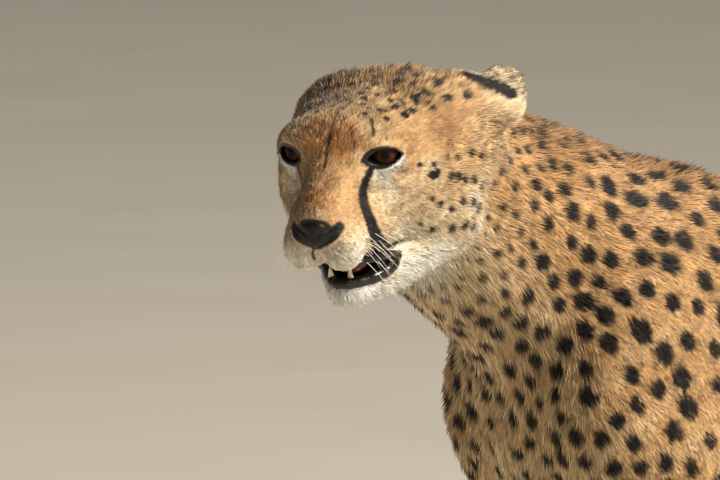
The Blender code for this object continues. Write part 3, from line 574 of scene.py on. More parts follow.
def comb(points, columns):
    """A mean of the guides' columns, where each weighs by the inverse fourth power of its distance."""
    found = np.empty((len(points), len(columns)), np.float32)
    for start in range(0, len(points), 200_000):
        p = points[start : start + 200_000]
        far = (p**2).sum(1)[:, None] + (GUIDES[:, :3] ** 2).sum(1) - 2 * p @ GUIDES[:, :3].T
        weight = 1 / (np.maximum(far, 0) + 0.0001) ** 2
        found[start : start + len(p)] = weight @ GUIDES[:, columns] / weight.sum(1)[:, None]
    return found


# ---------------------------------------------------------------- the skin

SOLE = 0.0004  # height of the flat soles
TOES = 0.050  # below this height the skin is refined
BLOCK = 4  # grid cells along the side of a block
NO_SKIN = 0.02  # the distance stated where the skin is far away


class Grid:
    """A grid that is fine round the face: a place lies g(r) cells from its middle, g' is 1 / cell size."""

    MIDDLE = single(HEAD @ Vector((0, -0.015, -0.030)))

    def __init__(self):
        reach = np.linspace(0, 1.8, 4000)
        cell = np.interp(reach, (0, 0.045, 0.10, 0.18, 0.40), (0.0014, 0.0014, 0.0022, 0.0042, 0.016)) * FINE
        cells = np.concatenate([[0], np.cumsum(np.diff(reach) / cell[1:])])
        self.reach, self.cells = reach.astype(np.float32), cells.astype(np.float32)

    def number(self, points):
        away = points - self.MIDDLE
        r = np.linalg.norm(away, axis=1, keepdims=True)
        return away * np.interp(r, self.reach, self.cells) / np.maximum(r, 1e-6)

    def place(self, numbers):
        n = np.linalg.norm(numbers, axis=1, keepdims=True)
        scale = np.interp(n, self.cells, self.reach) / np.maximum(n, 1e-6)
        return (numbers * scale + self.MIDDLE).astype(np.float32)


def skin_field(points):
    """The outline drawn in by the depth of the coat, then the lids at their true size."""
    skin = Flesh(points)
    skin.field = flesh_field(points) + comb(points, [DEPTH])[:, 0] / 1000
    skin.only_near(HEAD @ Vector((0, -0.01, -0.03)), 0.12)
    skin.frame = HEAD
    add_lids(skin)
    return np.maximum(skin.field, SOLE - points[:, 2])


EYE_GAZE = 20  # degrees that each eye looks outwards
EYE_TILT = 13  # degrees that the outer corner lies above the inner one
LID_HALF = (0.0126, 0.0060)  # half width and half height of the opening between the lids
LID_SKEW = (0.0026, 0.0012)  # the upper lid is highest this far inwards, the lower lowest this far outwards


def eye_axes(side):
    """An eye's own axes in the head: +X out to the side, +Y where it looks, +Z up, origin in its middle."""
    s = SIDES[side]
    gaze = math.radians(EYE_GAZE)
    look = Vector((s * math.sin(gaze), -math.cos(gaze), 0))
    tilt = math.radians(EYE_TILT)
    out = Vector((s * math.cos(tilt), 0, math.sin(tilt)))
    out = (out - out.dot(look) * look).normalized()
    up = out.cross(look) * s
    up = up if up.z > 0 else -up
    turn = Matrix((out, look, up)).transposed().to_4x4()
    return Matrix.Translation((s * EYE_OUT, EYE_BACK, EYE_UP)) @ turn


def lid_gap(own):
    """Distance from the opening between the lids, in an eye's own axes: two arcs with common corners."""
    half_wide, half_high = LID_HALF
    arc = (half_wide**2 + half_high**2) / (2 * half_high)
    drop = arc - half_high
    over = np.hypot(own[:, 0] + LID_SKEW[0], own[:, 2] + drop) - arc
    under = np.hypot(own[:, 0] - LID_SKEW[1], own[:, 2] - drop) - arc
    return np.maximum(over, under)


def add_lids(skin):
    """A shell over each eyeball, and the opening in it."""
    for side in SIDES:
        axes = HEAD @ eye_axes(side)
        at = axes.translation
        skin.ellipsoid((SIDES[side] * EYE_OUT, EYE_BACK, EYE_UP), (EYE_RADIUS + 0.0022,) * 3, over=0.005)
        index, p = skin.near(np.array(at) - 0.032, np.array(at) + 0.032)
        own = (p - single(at)) @ single(axes.to_3x3())
        skin.blend(index, np.maximum(lid_gap(own), -own[:, 1]), 0.0016, take_away=True)


def blocks_near_skin(grid, low, blocks):
    """Distances at the corners of every block of cells, and which blocks the skin may pass through."""
    ends = [low[i] + BLOCK * np.arange(blocks[i] + 1) for i in range(3)]
    places = grid.place(np.stack(np.meshgrid(*ends, indexing="ij"), -1).reshape(-1, 3).astype(np.float32))
    far = skin_field(places).reshape(blocks + 1)
    away = np.linalg.norm(places - grid.MIDDLE, axis=1)
    size = np.interp(away, grid.reach[1:], np.diff(grid.reach) / np.diff(grid.cells))
    close = np.abs(far) < 1.25 * BLOCK * size.reshape(blocks + 1) + 0.002
    active = np.zeros(blocks, bool)
    for i, j, k in np.ndindex(2, 2, 2):
        active |= close[i : i + blocks[0], j : j + blocks[1], k : k + blocks[2]]
    return far, active


def skin_mesh():
    """Distances on the grid, worked out only near the skin, and the closed sheet where they are nought."""
    grid = Grid()
    corners = np.vstack([column(node.data.vertices, "co", 3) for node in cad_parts.values()])
    numbers = grid.number(corners - CENTRE)
    low = BLOCK * (np.floor(numbers.min(0) / BLOCK).astype(int) - 2)
    blocks = np.ceil(numbers.max(0) / BLOCK).astype(int) + 2 - low // BLOCK
    far, active = blocks_near_skin(grid, low, blocks)

    field = (np.sign(far) * NO_SKIN).astype(np.float32)
    for axis in range(3):
        field = field.repeat(BLOCK, axis)
    wanted = np.zeros(field.shape, bool)
    for shift in np.ndindex(BLOCK + 1, BLOCK + 1, BLOCK + 1):
        span = tuple(slice(start, start + BLOCK * count, BLOCK) for start, count in zip(shift, blocks))
        wanted[span] |= active
    index = np.argwhere(wanted) + low
    parts = np.array_split(index, len(index) // 500_000 + 1)
    field[wanted] = np.concatenate([skin_field(grid.place(part.astype(np.float32))) for part in parts])
    volume = openvdb.FloatGrid(background=NO_SKIN)
    volume.copyFromArray(field)
    points, quads = volume.convertToQuads(isovalue=0.0)
    return refine_toes(new_mesh("skin", grid.place(points.astype(np.float32) + low), quads))


def refine_toes(mesh):
    """Feet cut finer, their points drawn onto the true surface, and every face cut into triangles."""
    bm = bmesh.new()
    bm.from_mesh(mesh)
    edges = [edge for edge in bm.edges if max(vert.co.z for vert in edge.verts) < TOES]
    bmesh.ops.subdivide_edges(bm, edges=edges, cuts=1, use_grid_fill=True)
    bmesh.ops.triangulate(bm, faces=bm.faces)
    bm.to_mesh(mesh)
    bm.free()
    points = column(mesh.vertices, "co", 3)
    low = points[:, 2] < TOES + 0.004
    step = 0.0005
    for _ in range(3):
        p = points[low]
        steps = np.vstack([p] + [p + shift for shift in np.eye(3, dtype=np.float32) * step])
        here, *along = skin_field(steps.astype(np.float32)).reshape(4, -1)
        slope = np.stack([(a - here) / step for a in along], 1)
        points[low] -= slope * (here / np.maximum((slope**2).sum(1), 0.3))[:, None]
    mesh.vertices.foreach_set("co", points.ravel())
    mesh.update()
    return mesh


def column(items, name, wide):
    """A property of every item of a mesh, as one array with `wide` columns."""
    flat = np.empty(len(items) * wide, np.float32)
    items.foreach_get(name, flat)
    return flat.reshape(-1, wide)


# ---------------------------------------------------------------- markings


def shade(red, green, blue):
    """A colour given as it looks on a screen, 0 to 255, turned to the linear numbers that paint uses."""
    c = np.array((red, green, blue)) / 255
    return np.where(c <= 0.04045, c / 12.92, ((c + 0.055) / 1.055) ** 2.4).astype(np.float32)


WHITE, CREAM, GOLDEN = shade(240, 238, 228), shade(216, 192, 154), shade(194, 155, 107)
BROWN, UMBER, RUST = shade(158, 120, 78), shade(122, 92, 60), shade(184, 118, 56)
# Inside the mouth: the gum's own red, darkened by painted shade.
BLACK, BLACKISH, GUM_IN_SHADE, PAD = shade(20, 15, 13), shade(46, 34, 27), shade(58, 20, 20), shade(44, 36, 33)
GOLD_LEVELS = (-0.2, 0.05, 0.5, 1.0, 1.3, 1.7)
GOLD_RAMP = np.stack([WHITE, WHITE, CREAM, GOLDEN, BROWN, UMBER])

SPOT_GROWTH = 1.48  # spots are larger than the guides say, by this factor
SPOT_TRIES = 40_000  # places that are tried for a spot

# Soft patches on both sides of the face: colour, strength, middle in the head's own axes, radius.
FACE_PATCHES = (
    (RUST, 0.55, (0.0110, -0.0170, 0.0175), 0.0225),
    (RUST, 0.40, (0.0, -0.050, -0.022), 0.016),
    (CREAM, 0.55, (0.0225, -0.0185, 0.0060), 0.0085),
    (CREAM, 0.60, (0.0040, -0.0620, -0.0290), 0.0085),
    (WHITE, 0.40, (0.0350, -0.0090, -0.0100), 0.0120),
    (WHITE, 0.45, (0.0200, -0.0500, -0.0600), 0.0220),
)
# Marks down the middle of the face and over the left eye: places in the head's own axes, and half widths.
# The furrow's stripe is partly dark hair and partly painted shade in its crease.
PHILTRUM = ((0, -0.068, -0.053, 0.0010), (0, -0.067, -0.060, 0.0008), (0, -0.062, -0.066, 0.0012))
FURROW = ((0, -0.032, 0.000, 0.0008), (0, -0.016, 0.020, 0.0014), (0, 0.000, 0.034, 0.0008))
BROW_STRIPE = (
    (EYE_OUT - 0.006, EYE_BACK - 0.008, EYE_UP + 0.025, 0.0014),
    (EYE_OUT - 0.001, EYE_BACK - 0.020, EYE_UP + 0.016, 0.0012),
)
TEAR_BOW = 0.028  # how far the tear line swings forward between the eye and the mouth

# Rows of spots that fan out over the left cheek and crown: from and to in the head's own axes, how many, and
# the half lengths of the first and the last.
SPOT_ROWS = (
    ((0.058, 0.016, -0.008), (0.072, 0.092, -0.022), 6, 0.0036, 0.0040),
    ((0.056, 0.022, -0.018), (0.072, 0.090, -0.042), 7, 0.0050, 0.0044),
    ((0.052, 0.026, -0.036), (0.072, 0.086, -0.058), 6, 0.0030, 0.0050),
    ((0.048, 0.022, -0.052), (0.070, 0.080, -0.076), 5, 0.0026, 0.0060),
    ((0.018, 0.000, 0.036), (0.046, 0.090, 0.028), 6, 0.0034, 0.0050),
    ((0.034, 0.012, 0.030), (0.060, 0.095, 0.020), 6, 0.0032, 0.0050),
)


def tear_line():
    """Knots from the inner corner of the left eye to the corner of the mouth, bowed towards the nose."""
    share = np.linspace(0, 1, 8)[:, None]
    corner = np.array(eye_axes("left") @ Vector((-LID_HALF[0], 0.018, -0.004)))
    mouth = np.array(LOWER_LIP[0][:3]) - (0.004, 0.006, 0.004)
    swing = np.array((0.003, -TEAR_BOW, 0)) * np.sin(math.pi * share)
    half = 0.0026 + 0.0032 * np.sin(0.8 * math.pi * share)
    return np.hstack([corner + (mouth - corner) * share + swing, half])


def row_spots():
    """Places and half lengths of the spots in rows, each a little off its row."""
    draw = np.random.default_rng(17)
    found = []
    for start, end, count, first, last in SPOT_ROWS:
        share = np.linspace(0, 1, count)[:, None]
        on_row = np.array(start) * (1 - share) + np.array(end) * share
        place = on_row + draw.uniform(-0.004, 0.004, (count, 3))
        half = (first + (last - first) * share) * draw.uniform(0.75, 1.2, (count, 1))
        found.append(np.hstack([place, half]))
    return np.vstack(found)


def stroke(points, knots):
    """Distance from a splined line of varying half width, in half widths."""
    rows = spline(knots, 40).astype(np.float32)
    far = np.full(len(points), 9.0, np.float32)
    near = ((points > rows[:, :3].min(0) - 0.02) & (points < rows[:, :3].max(0) + 0.02)).all(1)
    p = points[near]
    best = np.full(len(p), 9.0, np.float32)
    for row in rows:
        best = np.minimum(best, np.linalg.norm(p - row[:3], axis=1) / row[3])
    far[near] = best
    return far


def patch(points, at, radius):
    """1 in the middle of a soft round patch and 0 beyond its radius."""
    return smooth(1, 0.35, np.linalg.norm(points - single(at), axis=1) / radius)


def tint(colour, towards, share):
    """The colour moved towards another by a share that varies from point to point."""
    return colour + (towards - colour) * share[:, None]


def laid(h, knots):
    """Knots of the face moved to the nearest point of the skin. Both are in the head's own axes."""
    knots = single(knots)
    left = h[(h[:, 0] > -0.01) & (np.linalg.norm(h, axis=1) < 0.2)]
    for knot in knots:
        knot[:3] = left[((left - knot[:3]) ** 2).sum(1).argmin()]
    return knots


class Spots:
    """Ovals spread over the skin, each at its spacing from the others, and the marks of the face."""

    def __init__(self, points, normals):
        combed = comb(points, [*HEADING, SPOT])
        size = combed[:, 3] / 1000 * SPOT_GROWTH
        keep = np.flatnonzero((size > 0.0018) & (points[:, 2] > 0.03))
        keep = random.permutation(keep)[:SPOT_TRIES]
        gap = (1.50 * size + 0.0056) ** 2  # squared
        kept, count = np.empty((len(keep), 3), np.float32), 0
        chosen = []
        for i in keep.tolist():
            if count and ((kept[:count] - points[i]) ** 2).sum(1).min() < gap[i]:
                continue
            kept[count] = points[i]
            chosen.append(i)
            count += 1
        size = size[chosen] * random.uniform(0.74, 1.12, count)
        place, way = points[chosen], combed[chosen, :3]
        up = normals[chosen]
        own = in_head(points)
        marks = (tear_line(), FURROW, BROW_STRIPE, PHILTRUM)
        self.tear_line, self.furrow, self.brow_stripe, self.philtrum = (laid(own, knots) for knots in marks)
        for *at, half in laid(own, row_spots()).tolist():
            for s in SIDES.values():
                middle = from_head([[at[0] * s, at[1], at[2]]])
                nearest = ((points - middle) ** 2).sum(1).argmin()
                place, size = np.vstack([place, middle]), np.append(size, half)
                way, up = np.vstack([way, combed[nearest, :3]]), np.vstack([up, normals[nearest]])
        self.place, self.size, self.up = place, size.astype(np.float32), unit(up)
        self.way = unit(way - (way * self.up).sum(1)[:, None] * self.up)
        self.slim = random.uniform(0.70, 0.92, len(size)).astype(np.float32)

    def darkness(self, points):
        """1 inside a spot and 0 outside, with a ragged rim. Points are taken block by block."""
        found = np.zeros(len(points), np.float32)
        ragged = 0.13 * waves(points, 0.004, 3) + 0.10 * waves(points, 0.009, 4)
        side, many = 0.05, 4096  # of a block, and more than the blocks along the animal
        cell = np.floor(points / side).astype(np.int64)
        key = (cell[:, 0] * many + cell[:, 1]) * many + cell[:, 2]
        order = np.argsort(key, kind="stable")
        cuts = np.flatnonzero(np.diff(key[order])) + 1
        for index in np.split(order, cuts):
            middle = (cell[index[0]] + 0.5) * side
            near = (np.abs(self.place - middle) < side / 2 + 0.016).all(1)
            if not near.any():
                continue
            away = points[index][:, None] - self.place[near]
            ahead = (away * self.way[near]).sum(2)
            above = (away * self.up[near]).sum(2)
            aside = np.sqrt(np.maximum((away**2).sum(2) - ahead**2 - above**2, 0))
            size = self.size[near]
            across = aside / (size * self.slim[near])
            level = np.sqrt((ahead / size) ** 2 + across**2 + (above / (size + 0.004)) ** 2).min(1)
            found[index] = smooth(1.16, 0.84, level + ragged[index])
        return found


def tail_share(points):
    """How far along the tail each point lies, 0 at its root and 1 at its tip, and how far from its axis."""
    count = 80
    rows = spline(TAIL, count)[:, :3].astype(np.float32)
    far = (points**2).sum(1)[:, None] + (rows**2).sum(1) - 2 * points @ rows.T
    return far.argmin(1) / (count - 1), np.sqrt(np.maximum(far.min(1), 0))


def mouth_share(h):
    """1 inside the mouth and 0 outside it, in the head's own axes."""
    turn = single(Euler((math.radians(-11), 0, 0)).to_matrix())
    own = (h - single((0.002, -0.003, -0.0810))) @ turn / single((0.0260, 0.0440, 0.0125))
    return smooth(1.06, 0.96, np.linalg.norm(own, axis=1))


def plain_colour(points, normals):
    """Golden above, white under the body and inside the legs, as the guides say, and a little uneven."""
    body = smooth(0.13, 0.20, np.linalg.norm(points - single(HEAD_AT), axis=1))
    under = smooth(0.15, 0.85, -normals[:, 2]) * body * smooth(0.30, 0.45, points[:, 2])
    inwards = -normals[:, 0] * np.sign(points[:, 0])
    inner = smooth(0.2, 0.9, inwards) * body * smooth(0.52, 0.44, points[:, 2])
    pale = np.maximum(under * smooth(-0.36, -0.30, points[:, 1]), 0.6 * inner)
    gold = comb(points, [GOLD])[:, 0] * (1 - 0.65 * pale)
    gold = gold + 0.07 * waves(points, 0.03, 1) + 0.05 * waves(points, 0.011, 2)
    return np.stack([np.interp(gold, GOLD_LEVELS, GOLD_RAMP[:, i]) for i in range(3)], 1).astype(np.float32)


def face_colour(colour, points, h, left):
    """Rusty brow, pale inner corners and under-eyes, grizzled crown."""
    for towards, share, at, radius in FACE_PATCHES:
        colour = tint(colour, towards, share * patch(left, at, radius))
    crown = smooth(0.026, 0.038, h[:, 2] + 0.25 * np.minimum(h[:, 1], 0.04)) * smooth(0.17, 0.12, h[:, 1])
    flecks = smooth(0.25, 0.75, waves(points, 0.0055, 12) + 0.5 * waves(points, 0.0030, 13))
    colour = tint(colour, shade(160, 132, 96), 0.20 * crown)
    return tint(colour, BLACKISH, 0.48 * crown * flecks)


def face_marks(dark, points, h, left, spots):
    """The stripe over an eye, the furrow (partly dark hair, partly painted shade in its crease), the split
    lip, rows of dots on the lip pads, and tear lines.
    """
    ragged = 0.15 * waves(points, 0.003, 11)
    dark = np.maximum(dark, 0.9 * smooth(1.5, 0.8, stroke(h, spots.brow_stripe) + ragged))
    # Along the furrow the stripe stands partly for dark hair and partly for painted shade in the crease.
    dark = np.maximum(dark, 0.80 * smooth(2.2, 0.6, stroke(h, spots.furrow)))
    dark = np.maximum(dark, 0.85 * smooth(1.5, 0.8, stroke(h, spots.philtrum)))
    pad = (left[:, 1] < -0.025) & (left[:, 2] < -0.035) & (left[:, 2] > -0.08)
    p = left[pad]
    lines = 0.5 + 0.5 * np.sin((p[:, 2] + 0.35 * p[:, 1]) * 2 * math.pi / 0.0055)
    beads = 0.5 + 0.5 * np.sin(p[:, 1] * 2 * math.pi / 0.0052 + 3 * waves(p, 0.02, 14))
    dots = smooth(0.55, 0.95, lines * beads) * patch(p, (0.0230, -0.0480, -0.0540), 0.0200)
    dark[pad] = np.maximum(dark[pad], 0.55 * dots)
    tears = stroke(left, spots.tear_line) + 0.08 * waves(points, 0.004, 5)
    return np.maximum(dark, smooth(1.2, 0.9, tears))


def tail_marks(colour, dark, points):
    """Rings towards the tip, which is white."""
    share, off = tail_share(points)
    on_tail = smooth(0.040, 0.030, off) * smooth(0.40, 0.44, points[:, 1])
    rings = smooth(-0.25, 0.15, np.sin(share * 2 * math.pi * 13 + 0.5) + 0.15 * waves(points, 0.008, 6))
    late = on_tail * smooth(0.60, 0.66, share)
    tip = on_tail * smooth(0.955, 0.975, share)
    colour = tint(tint(colour, CREAM, 0.7 * late), WHITE, tip)
    return colour, (dark * (1 - late) + late * rings) * (1 - tip)


def in_axes(axes, points):
    """Places in the axes that a matrix gives."""
    own = axes.inverted()
    return points @ single(own.to_3x3()).T + single(own.translation)


def ear_marks(colour, dark, points):
    """A black band behind, a grizzled tip, and a pale lining, which is nearly bare in its middle."""
    bare = np.zeros(len(points), np.float32)
    speck = smooth(-0.15, 0.35, waves(points, 0.0022, 8) + 0.5 * waves(points, 0.005, 9))
    grizzled = tint(np.broadcast_to(shade(186, 168, 134), colour.shape), shade(84, 70, 54), 0.75 * speck)
    for side in SIDES:
        e = in_axes(HEAD @ ear_axes(side), points)
        reach = np.linalg.norm(e / single((0.030, 0.025, 0.020)), axis=1)
        on_ear = smooth(1.5, 1.2, reach) * smooth(-0.026, -0.019, e[:, 0])
        behind = smooth(0.002, -0.001, e[:, 2])
        lining = on_ear * (1 - behind)
        band = np.hypot(e[:, 0] + 0.0052, np.maximum(0, e[:, 1] - 0.0065))
        band = band + 0.0008 * waves(points, 0.004, 7)
        share = on_ear * behind * smooth(-0.003, 0.001, e[:, 0])
        colour = tint(colour + (grizzled - colour) * share[:, None], CREAM, lining)
        dark = np.maximum(dark * (1 - on_ear), on_ear * behind * smooth(0.0066, 0.0050, band))
        middle = smooth(0.8, 0.4, np.linalg.norm(e[:, :2] / 0.02, axis=1))
        bare = np.maximum(bare, 0.6 * lining * middle)
    return colour, dark, bare


def lid_marks(colour, dark, points):
    """The bare rims of the lids, thicker inwards, and thicker above partly as painted shade from the brow,
    and a white crescent under each.
    """
    rim = np.zeros(len(points), np.float32)
    for side in SIDES:
        e = in_axes(HEAD @ eye_axes(side), points)
        edge = lid_gap(e)
        front = smooth(0.002, 0.006, e[:, 1]) * smooth(0.040, 0.030, np.linalg.norm(e, axis=1))
        # The rim is thicker above partly to paint the brow's shade over the upper lid.
        thick = 0.0022 + 0.0018 * smooth(0.006, -0.010, e[:, 0]) + 0.0009 * smooth(0.000, 0.006, e[:, 2])
        rim = np.maximum(rim, front * smooth(thick + 0.0006, thick - 0.0006, edge))
        below = smooth(0.002, -0.003, e[:, 2]) * smooth(thick + 0.0075, thick + 0.0015, edge) * front
        below = below * smooth(-0.012, -0.006, e[:, 0]) * smooth(0.016, 0.010, e[:, 0])
        colour = tint(colour, WHITE, 0.95 * below * (1 - dark))
    return colour, rim


def markings(points, normals, spots):
    """Colour of the coat at each place, then how bare and how wet the skin is there, each from 0 to 1."""
    h = in_head(points)
    left = h.copy()
    left[:, 0] = np.abs(left[:, 0])
    colour = face_colour(plain_colour(points, normals), points, h, left)
    dark = face_marks(spots.darkness(points), points, h, left, spots)
    colour, dark = tail_marks(colour, dark, points)
    colour, dark, bare_ear = ear_marks(colour, dark, points)
    colour, rim = lid_marks(colour, dark, points)
    mouth = mouth_share(h)
    nose = smooth(0.0030, 0.0014, nose_distance(h))
    sole = smooth(0.0040, 0.0020, points[:, 2])
    dark = np.maximum.reduce([dark, rim, nose])
    # The inside of the mouth takes the gum colour, darkened by painted shade.
    for towards, share in ((BLACK, dark), (GUM_IN_SHADE, mouth), (PAD, sole)):
        colour = tint(colour, towards, share)
    wet = np.maximum.reduce([rim, mouth, nose])
    return colour, np.maximum.reduce([wet, sole, bare_ear]), wet


# ---------------------------------------------------------------- nose, tongue and teeth


def add_nose_outline(flesh):
    """A rounded wedge, broad at the top, narrow below, with a thin wing curling up and out on each side."""
    flesh.ellipsoid((0, -0.0600, -0.0378), (0.0114, 0.0092, 0.0074), (-24, 0, 0), over=0.006)
    flesh.ellipsoid((0, -0.0607, -0.0458), (0.0056, 0.0080, 0.0072), over=0.006)
    for s in SIDES.values():
        wing = (
            (s * 0.0062, -0.0630, -0.0448, 0.0052, 0.0048),
            (s * 0.0130, -0.0600, -0.0422, 0.0042, 0.0036),
            (s * 0.0170, -0.0568, -0.0378, 0.0026, 0.0024),
        )
        flesh.tube(wing, over=0.0025, across=(0, 1, 0), rings=20)


def add_nose(flesh):
    """The pad, with a comma-shaped nostril in each wing and a furrow down its middle."""
    add_nose_outline(flesh)
    for s in SIDES.values():
        hole = (
            (s * 0.0058, -0.0715, -0.0470, 0.0022, 0.0026),
            (s * 0.0098, -0.0685, -0.0448, 0.0024, 0.0026),
            (s * 0.0145, -0.0635, -0.0420, 0.0012, 0.0014),
            (s * 0.0178, -0.0592, -0.0392, 0.0007, 0.0007),
        )
        flesh.tube(hole, over=0.0016, across=(0, 1, 0), rings=20, take_away=True)
    furrow = ((0, -0.0700, -0.0450, 0.0006, 0.0010), (0, -0.0695, -0.0580, 0.0006, 0.0012))
    flesh.tube(furrow, over=0.001, rings=12, take_away=True)


def nose_distance(h):
    flesh = Flesh(h)
    add_nose_outline(flesh)
    return flesh.field


def add_tongue(flesh):
    """Lies along the floor of the mouth with its tip behind the lower lip and a groove down its middle."""
    knots = (
        (0, 0.018, -0.0745, 0.0150, 0.0060),
        (0.7 * JAW_ASIDE, 0.002, -0.0810, 0.0108, 0.0045),
        (0.9 * JAW_ASIDE, -0.011, -0.0842, 0.0078, 0.0028),
    )
    flesh.tube(knots, over=0.004, rings=24)
    groove = ((0, 0.018, -0.0685, 0.0012, 0.0012), (0.7 * JAW_ASIDE, -0.012, -0.0834, 0.0010, 0.0010))
    flesh.tube(groove, over=0.003, rings=16, take_away=True)


def add_incisors(flesh):
    """Six small teeth side by side between the canines, above and below."""
    for y, z, half, aside in ((-0.0465, -0.0655, 0.0066, 0), (-0.0270, -0.0895, 0.0026, LOWER_TEETH_ASIDE)):
        for place in (-1, -0.6, -0.2, 0.2, 0.6, 1):
            at = (half * place + aside, y + 0.0020 * place**2, z)
            flesh.ellipsoid(at, (0.0013, 0.0015, 0.0034), over=0.0006)


def carved(name, low, high, step, add):
    """A closed mesh in the head's own axes from shapes on a small even grid."""
    step = step * FINE
    count = [int(math.ceil((b - a) / step)) + 1 for a, b in zip(low, high)]
    lines = [a + step * np.arange(n) for a, n in zip(low, count)]
    flesh = Flesh(np.stack(np.meshgrid(*lines, indexing="ij"), -1).reshape(-1, 3).astype(np.float32))
    add(flesh)
    volume = openvdb.FloatGrid(background=Flesh.FAR)
    volume.copyFromArray(flesh.field.reshape(count))
    points, quads = volume.convertToQuads(isovalue=0.0)
    return new_mesh(name, from_head(points * step + np.array(low)) + CENTRE, quads)


# ---------------------------------------------------------------- swept and turned shapes


def band_faces(tubes, count, sides):
    """Four-sided faces between neighbouring rings of tubes whose points are numbered ring by ring."""
    number = np.arange(tubes * count * sides).reshape(tubes, count, sides)
    after = np.roll(number, -1, axis=2)
    return np.stack([number[:, :-1], after[:, :-1], after[:, 1:], number[:, 1:]], -1).reshape(-1, 4)


def swept(paths, radii, sides):
    """Tubes along paths, open at their ends: at each point a ring of this radius, square to the path.

    paths is (tubes, points, 3) and radii (tubes, points). Gives the points and four-sided faces of all.
    """
    tubes, count = radii.shape
    along = unit(np.gradient(paths, axis=1))
    first = unit(np.cross(along, np.array((0.31, 0.17, 0.94))))
    second = np.cross(along, first)
    turn = np.arange(sides) * 2 * math.pi / sides
    ring = first[:, :, None] * np.cos(turn)[:, None] + second[:, :, None] * np.sin(turn)[:, None]
    points = paths[:, :, None] + ring * radii[:, :, None, None]
    return points.reshape(-1, 3), band_faces(tubes, count, sides)


def closed_ends(name, points, quads):
    """A mesh of tubes whose open ends are drawn shut, with its faces turned outwards."""
    bm = bmesh.new()
    bm.from_mesh(new_mesh(name, points, quads))
    rims = [edge for edge in bm.edges if edge.is_boundary]
    bmesh.ops.holes_fill(bm, edges=rims, sides=0)
    bmesh.ops.recalc_face_normals(bm, faces=bm.faces)
    mesh = bpy.data.meshes.new(name)
    bm.to_mesh(mesh)
    bm.free()
    return mesh


def spikes(name, rows, turn_in_head=True):
    """Curved cones: the middle bows by the sag from base to tip, and the radius falls as 1 - t**1.6."""
    t = np.linspace(0, 0.985, 14)[None, :, None]
    base, tip, sag = (np.array([row[i] for row in rows], float)[:, None] for i in (0, 1, 3))
    paths = base + (tip - base) * t + sag * 4 * t * (1 - t)
    radii = np.array([row[2] for row in rows])[:, None] * (1 - t[0, :, 0] ** 1.6)
    points, quads = swept(paths, radii, 12)
    points = from_head(points) if turn_in_head else points
    return closed_ends(name, points + CENTRE, quads)


def lip_path(knots, aside, slim):
    """A splined line from the left corner of the mouth round the front to the right corner."""
    left = np.array(knots, float)
    rows = spline(np.vstack([left, left[-2::-1] * np.array((-1, 1, 1, 1))]), 90)
    rows[:, 0] *= np.where(rows[:, 0] < 0, 1 - (1 - slim) * smooth(0.012, -0.010, rows[:, 1]), 1)
    rows[:, 0] += aside * smooth(0.012, -0.010, rows[:, 1])
    return rows


LOWER_LIP = (
    (0.0350, 0.0130, -0.0765, 0.0028),
    (0.0325, 0.0040, -0.0795, 0.0048),
    (0.0265, -0.0080, -0.0840, 0.0056),
    (0.0185, -0.0195, -0.0872, 0.0048),
    (0.0100, -0.0285, -0.0885, 0.0042),
    (0.0000, -0.0325, -0.0885, 0.0041),
)
UPPER_LIP = (
    (0.0350, 0.0110, -0.0765, 0.0020),
    (0.0335, -0.0060, -0.0725, 0.0034),
    (0.0300, -0.0230, -0.0705, 0.0030),
    (0.0240, -0.0390, -0.0700, 0.0024),
    (0.0140, -0.0490, -0.0685, 0.0016),
    (0.0000, -0.0500, -0.0650, 0.0010),
)


def lip(name, knots, aside=0.0, slim=1.0):
    rows = lip_path(knots, aside, slim)
    swell = 1 + 0.10 * np.sin(np.linspace(0, 60, len(rows))) * np.sin(np.linspace(0, 17, len(rows)))
    points, quads = swept(rows[None, :, :3], rows[None, :, 3] * swell[None], 16)
    return closed_ends(name, from_head(points) + CENTRE, quads)


def eyeball(side):
    """A ball with a bulging front: radius R (1 + 0.05 exp(-(a / 0.42)^2)), with a the angle from the gaze.

    The attribute `gaze` holds that angle and `turn` the angle round it.
    """
    rings, sides = 72, 96
    a = np.linspace(0.004, math.pi - 0.004, rings)[:, None]
    b = np.arange(sides)[None, :] * 2 * math.pi / sides
    radius = EYE_RADIUS * (1 + 0.05 * np.exp(-((a / 0.42) ** 2)))
    wide, ahead = radius * np.sin(a), radius * np.cos(a) + 0 * b
    own = np.stack([wide * np.cos(b), ahead, wide * np.sin(b)], -1)
    axes = HEAD @ eye_axes(side)
    points = own.reshape(-1, 3) @ np.array(axes.to_3x3()).T + np.array(axes.translation) + CENTRE
    mesh = closed_ends(f"eyeball_{side}", points, band_faces(1, rings, sides))
    give(mesh, "gaze", np.repeat(a[:, 0], sides))
    give(mesh, "turn", np.tile(b[0], rings))
    return mesh


def whisker_root(row, place):
    """Where a whisker of the left lip pad stands, in the head's own axes."""
    return np.array((0.0295 - 0.0015 * row, -0.036 + 0.0065 * place, -0.048 - 0.0055 * row))


def whiskers():
    """Long hairs from the back of each lip pad: they leave sideways and droop over the mouth's corner."""
    draw = np.random.default_rng(11)
    t = np.linspace(0, 1, 12)[None, :, None]
    base, way, long = [], [], []
    for s in SIDES.values():
        for row in range(4):
            for place in range(4):
                shift = draw.uniform(-0.0015, 0.0015, 3)
                base.append((whisker_root(row, place) + shift) * (s, 1, 1))
                back = 0.15 + 0.15 * place + draw.uniform(-0.2, 0.2)
                down = 0.35 + 0.10 * row - draw.uniform(-0.15, 0.15)
                way.append((s * 0.65, back, -down))
                long.append(draw.uniform(0.016, 0.040))
    base, way, long = np.array(base)[:, None], unit(np.array(way))[:, None], np.array(long)[:, None, None]
    paths = base + way * long * t + np.array((0, 0.15, -0.85)) * long * t**2 * 0.40
    radii = np.repeat(0.00022 * (1 - 0.85 * t[..., 0] ** 1.5), len(base), 0)
    points, quads = swept(paths, radii, 5)
    return closed_ends("whiskers", from_head(points) + CENTRE, quads)


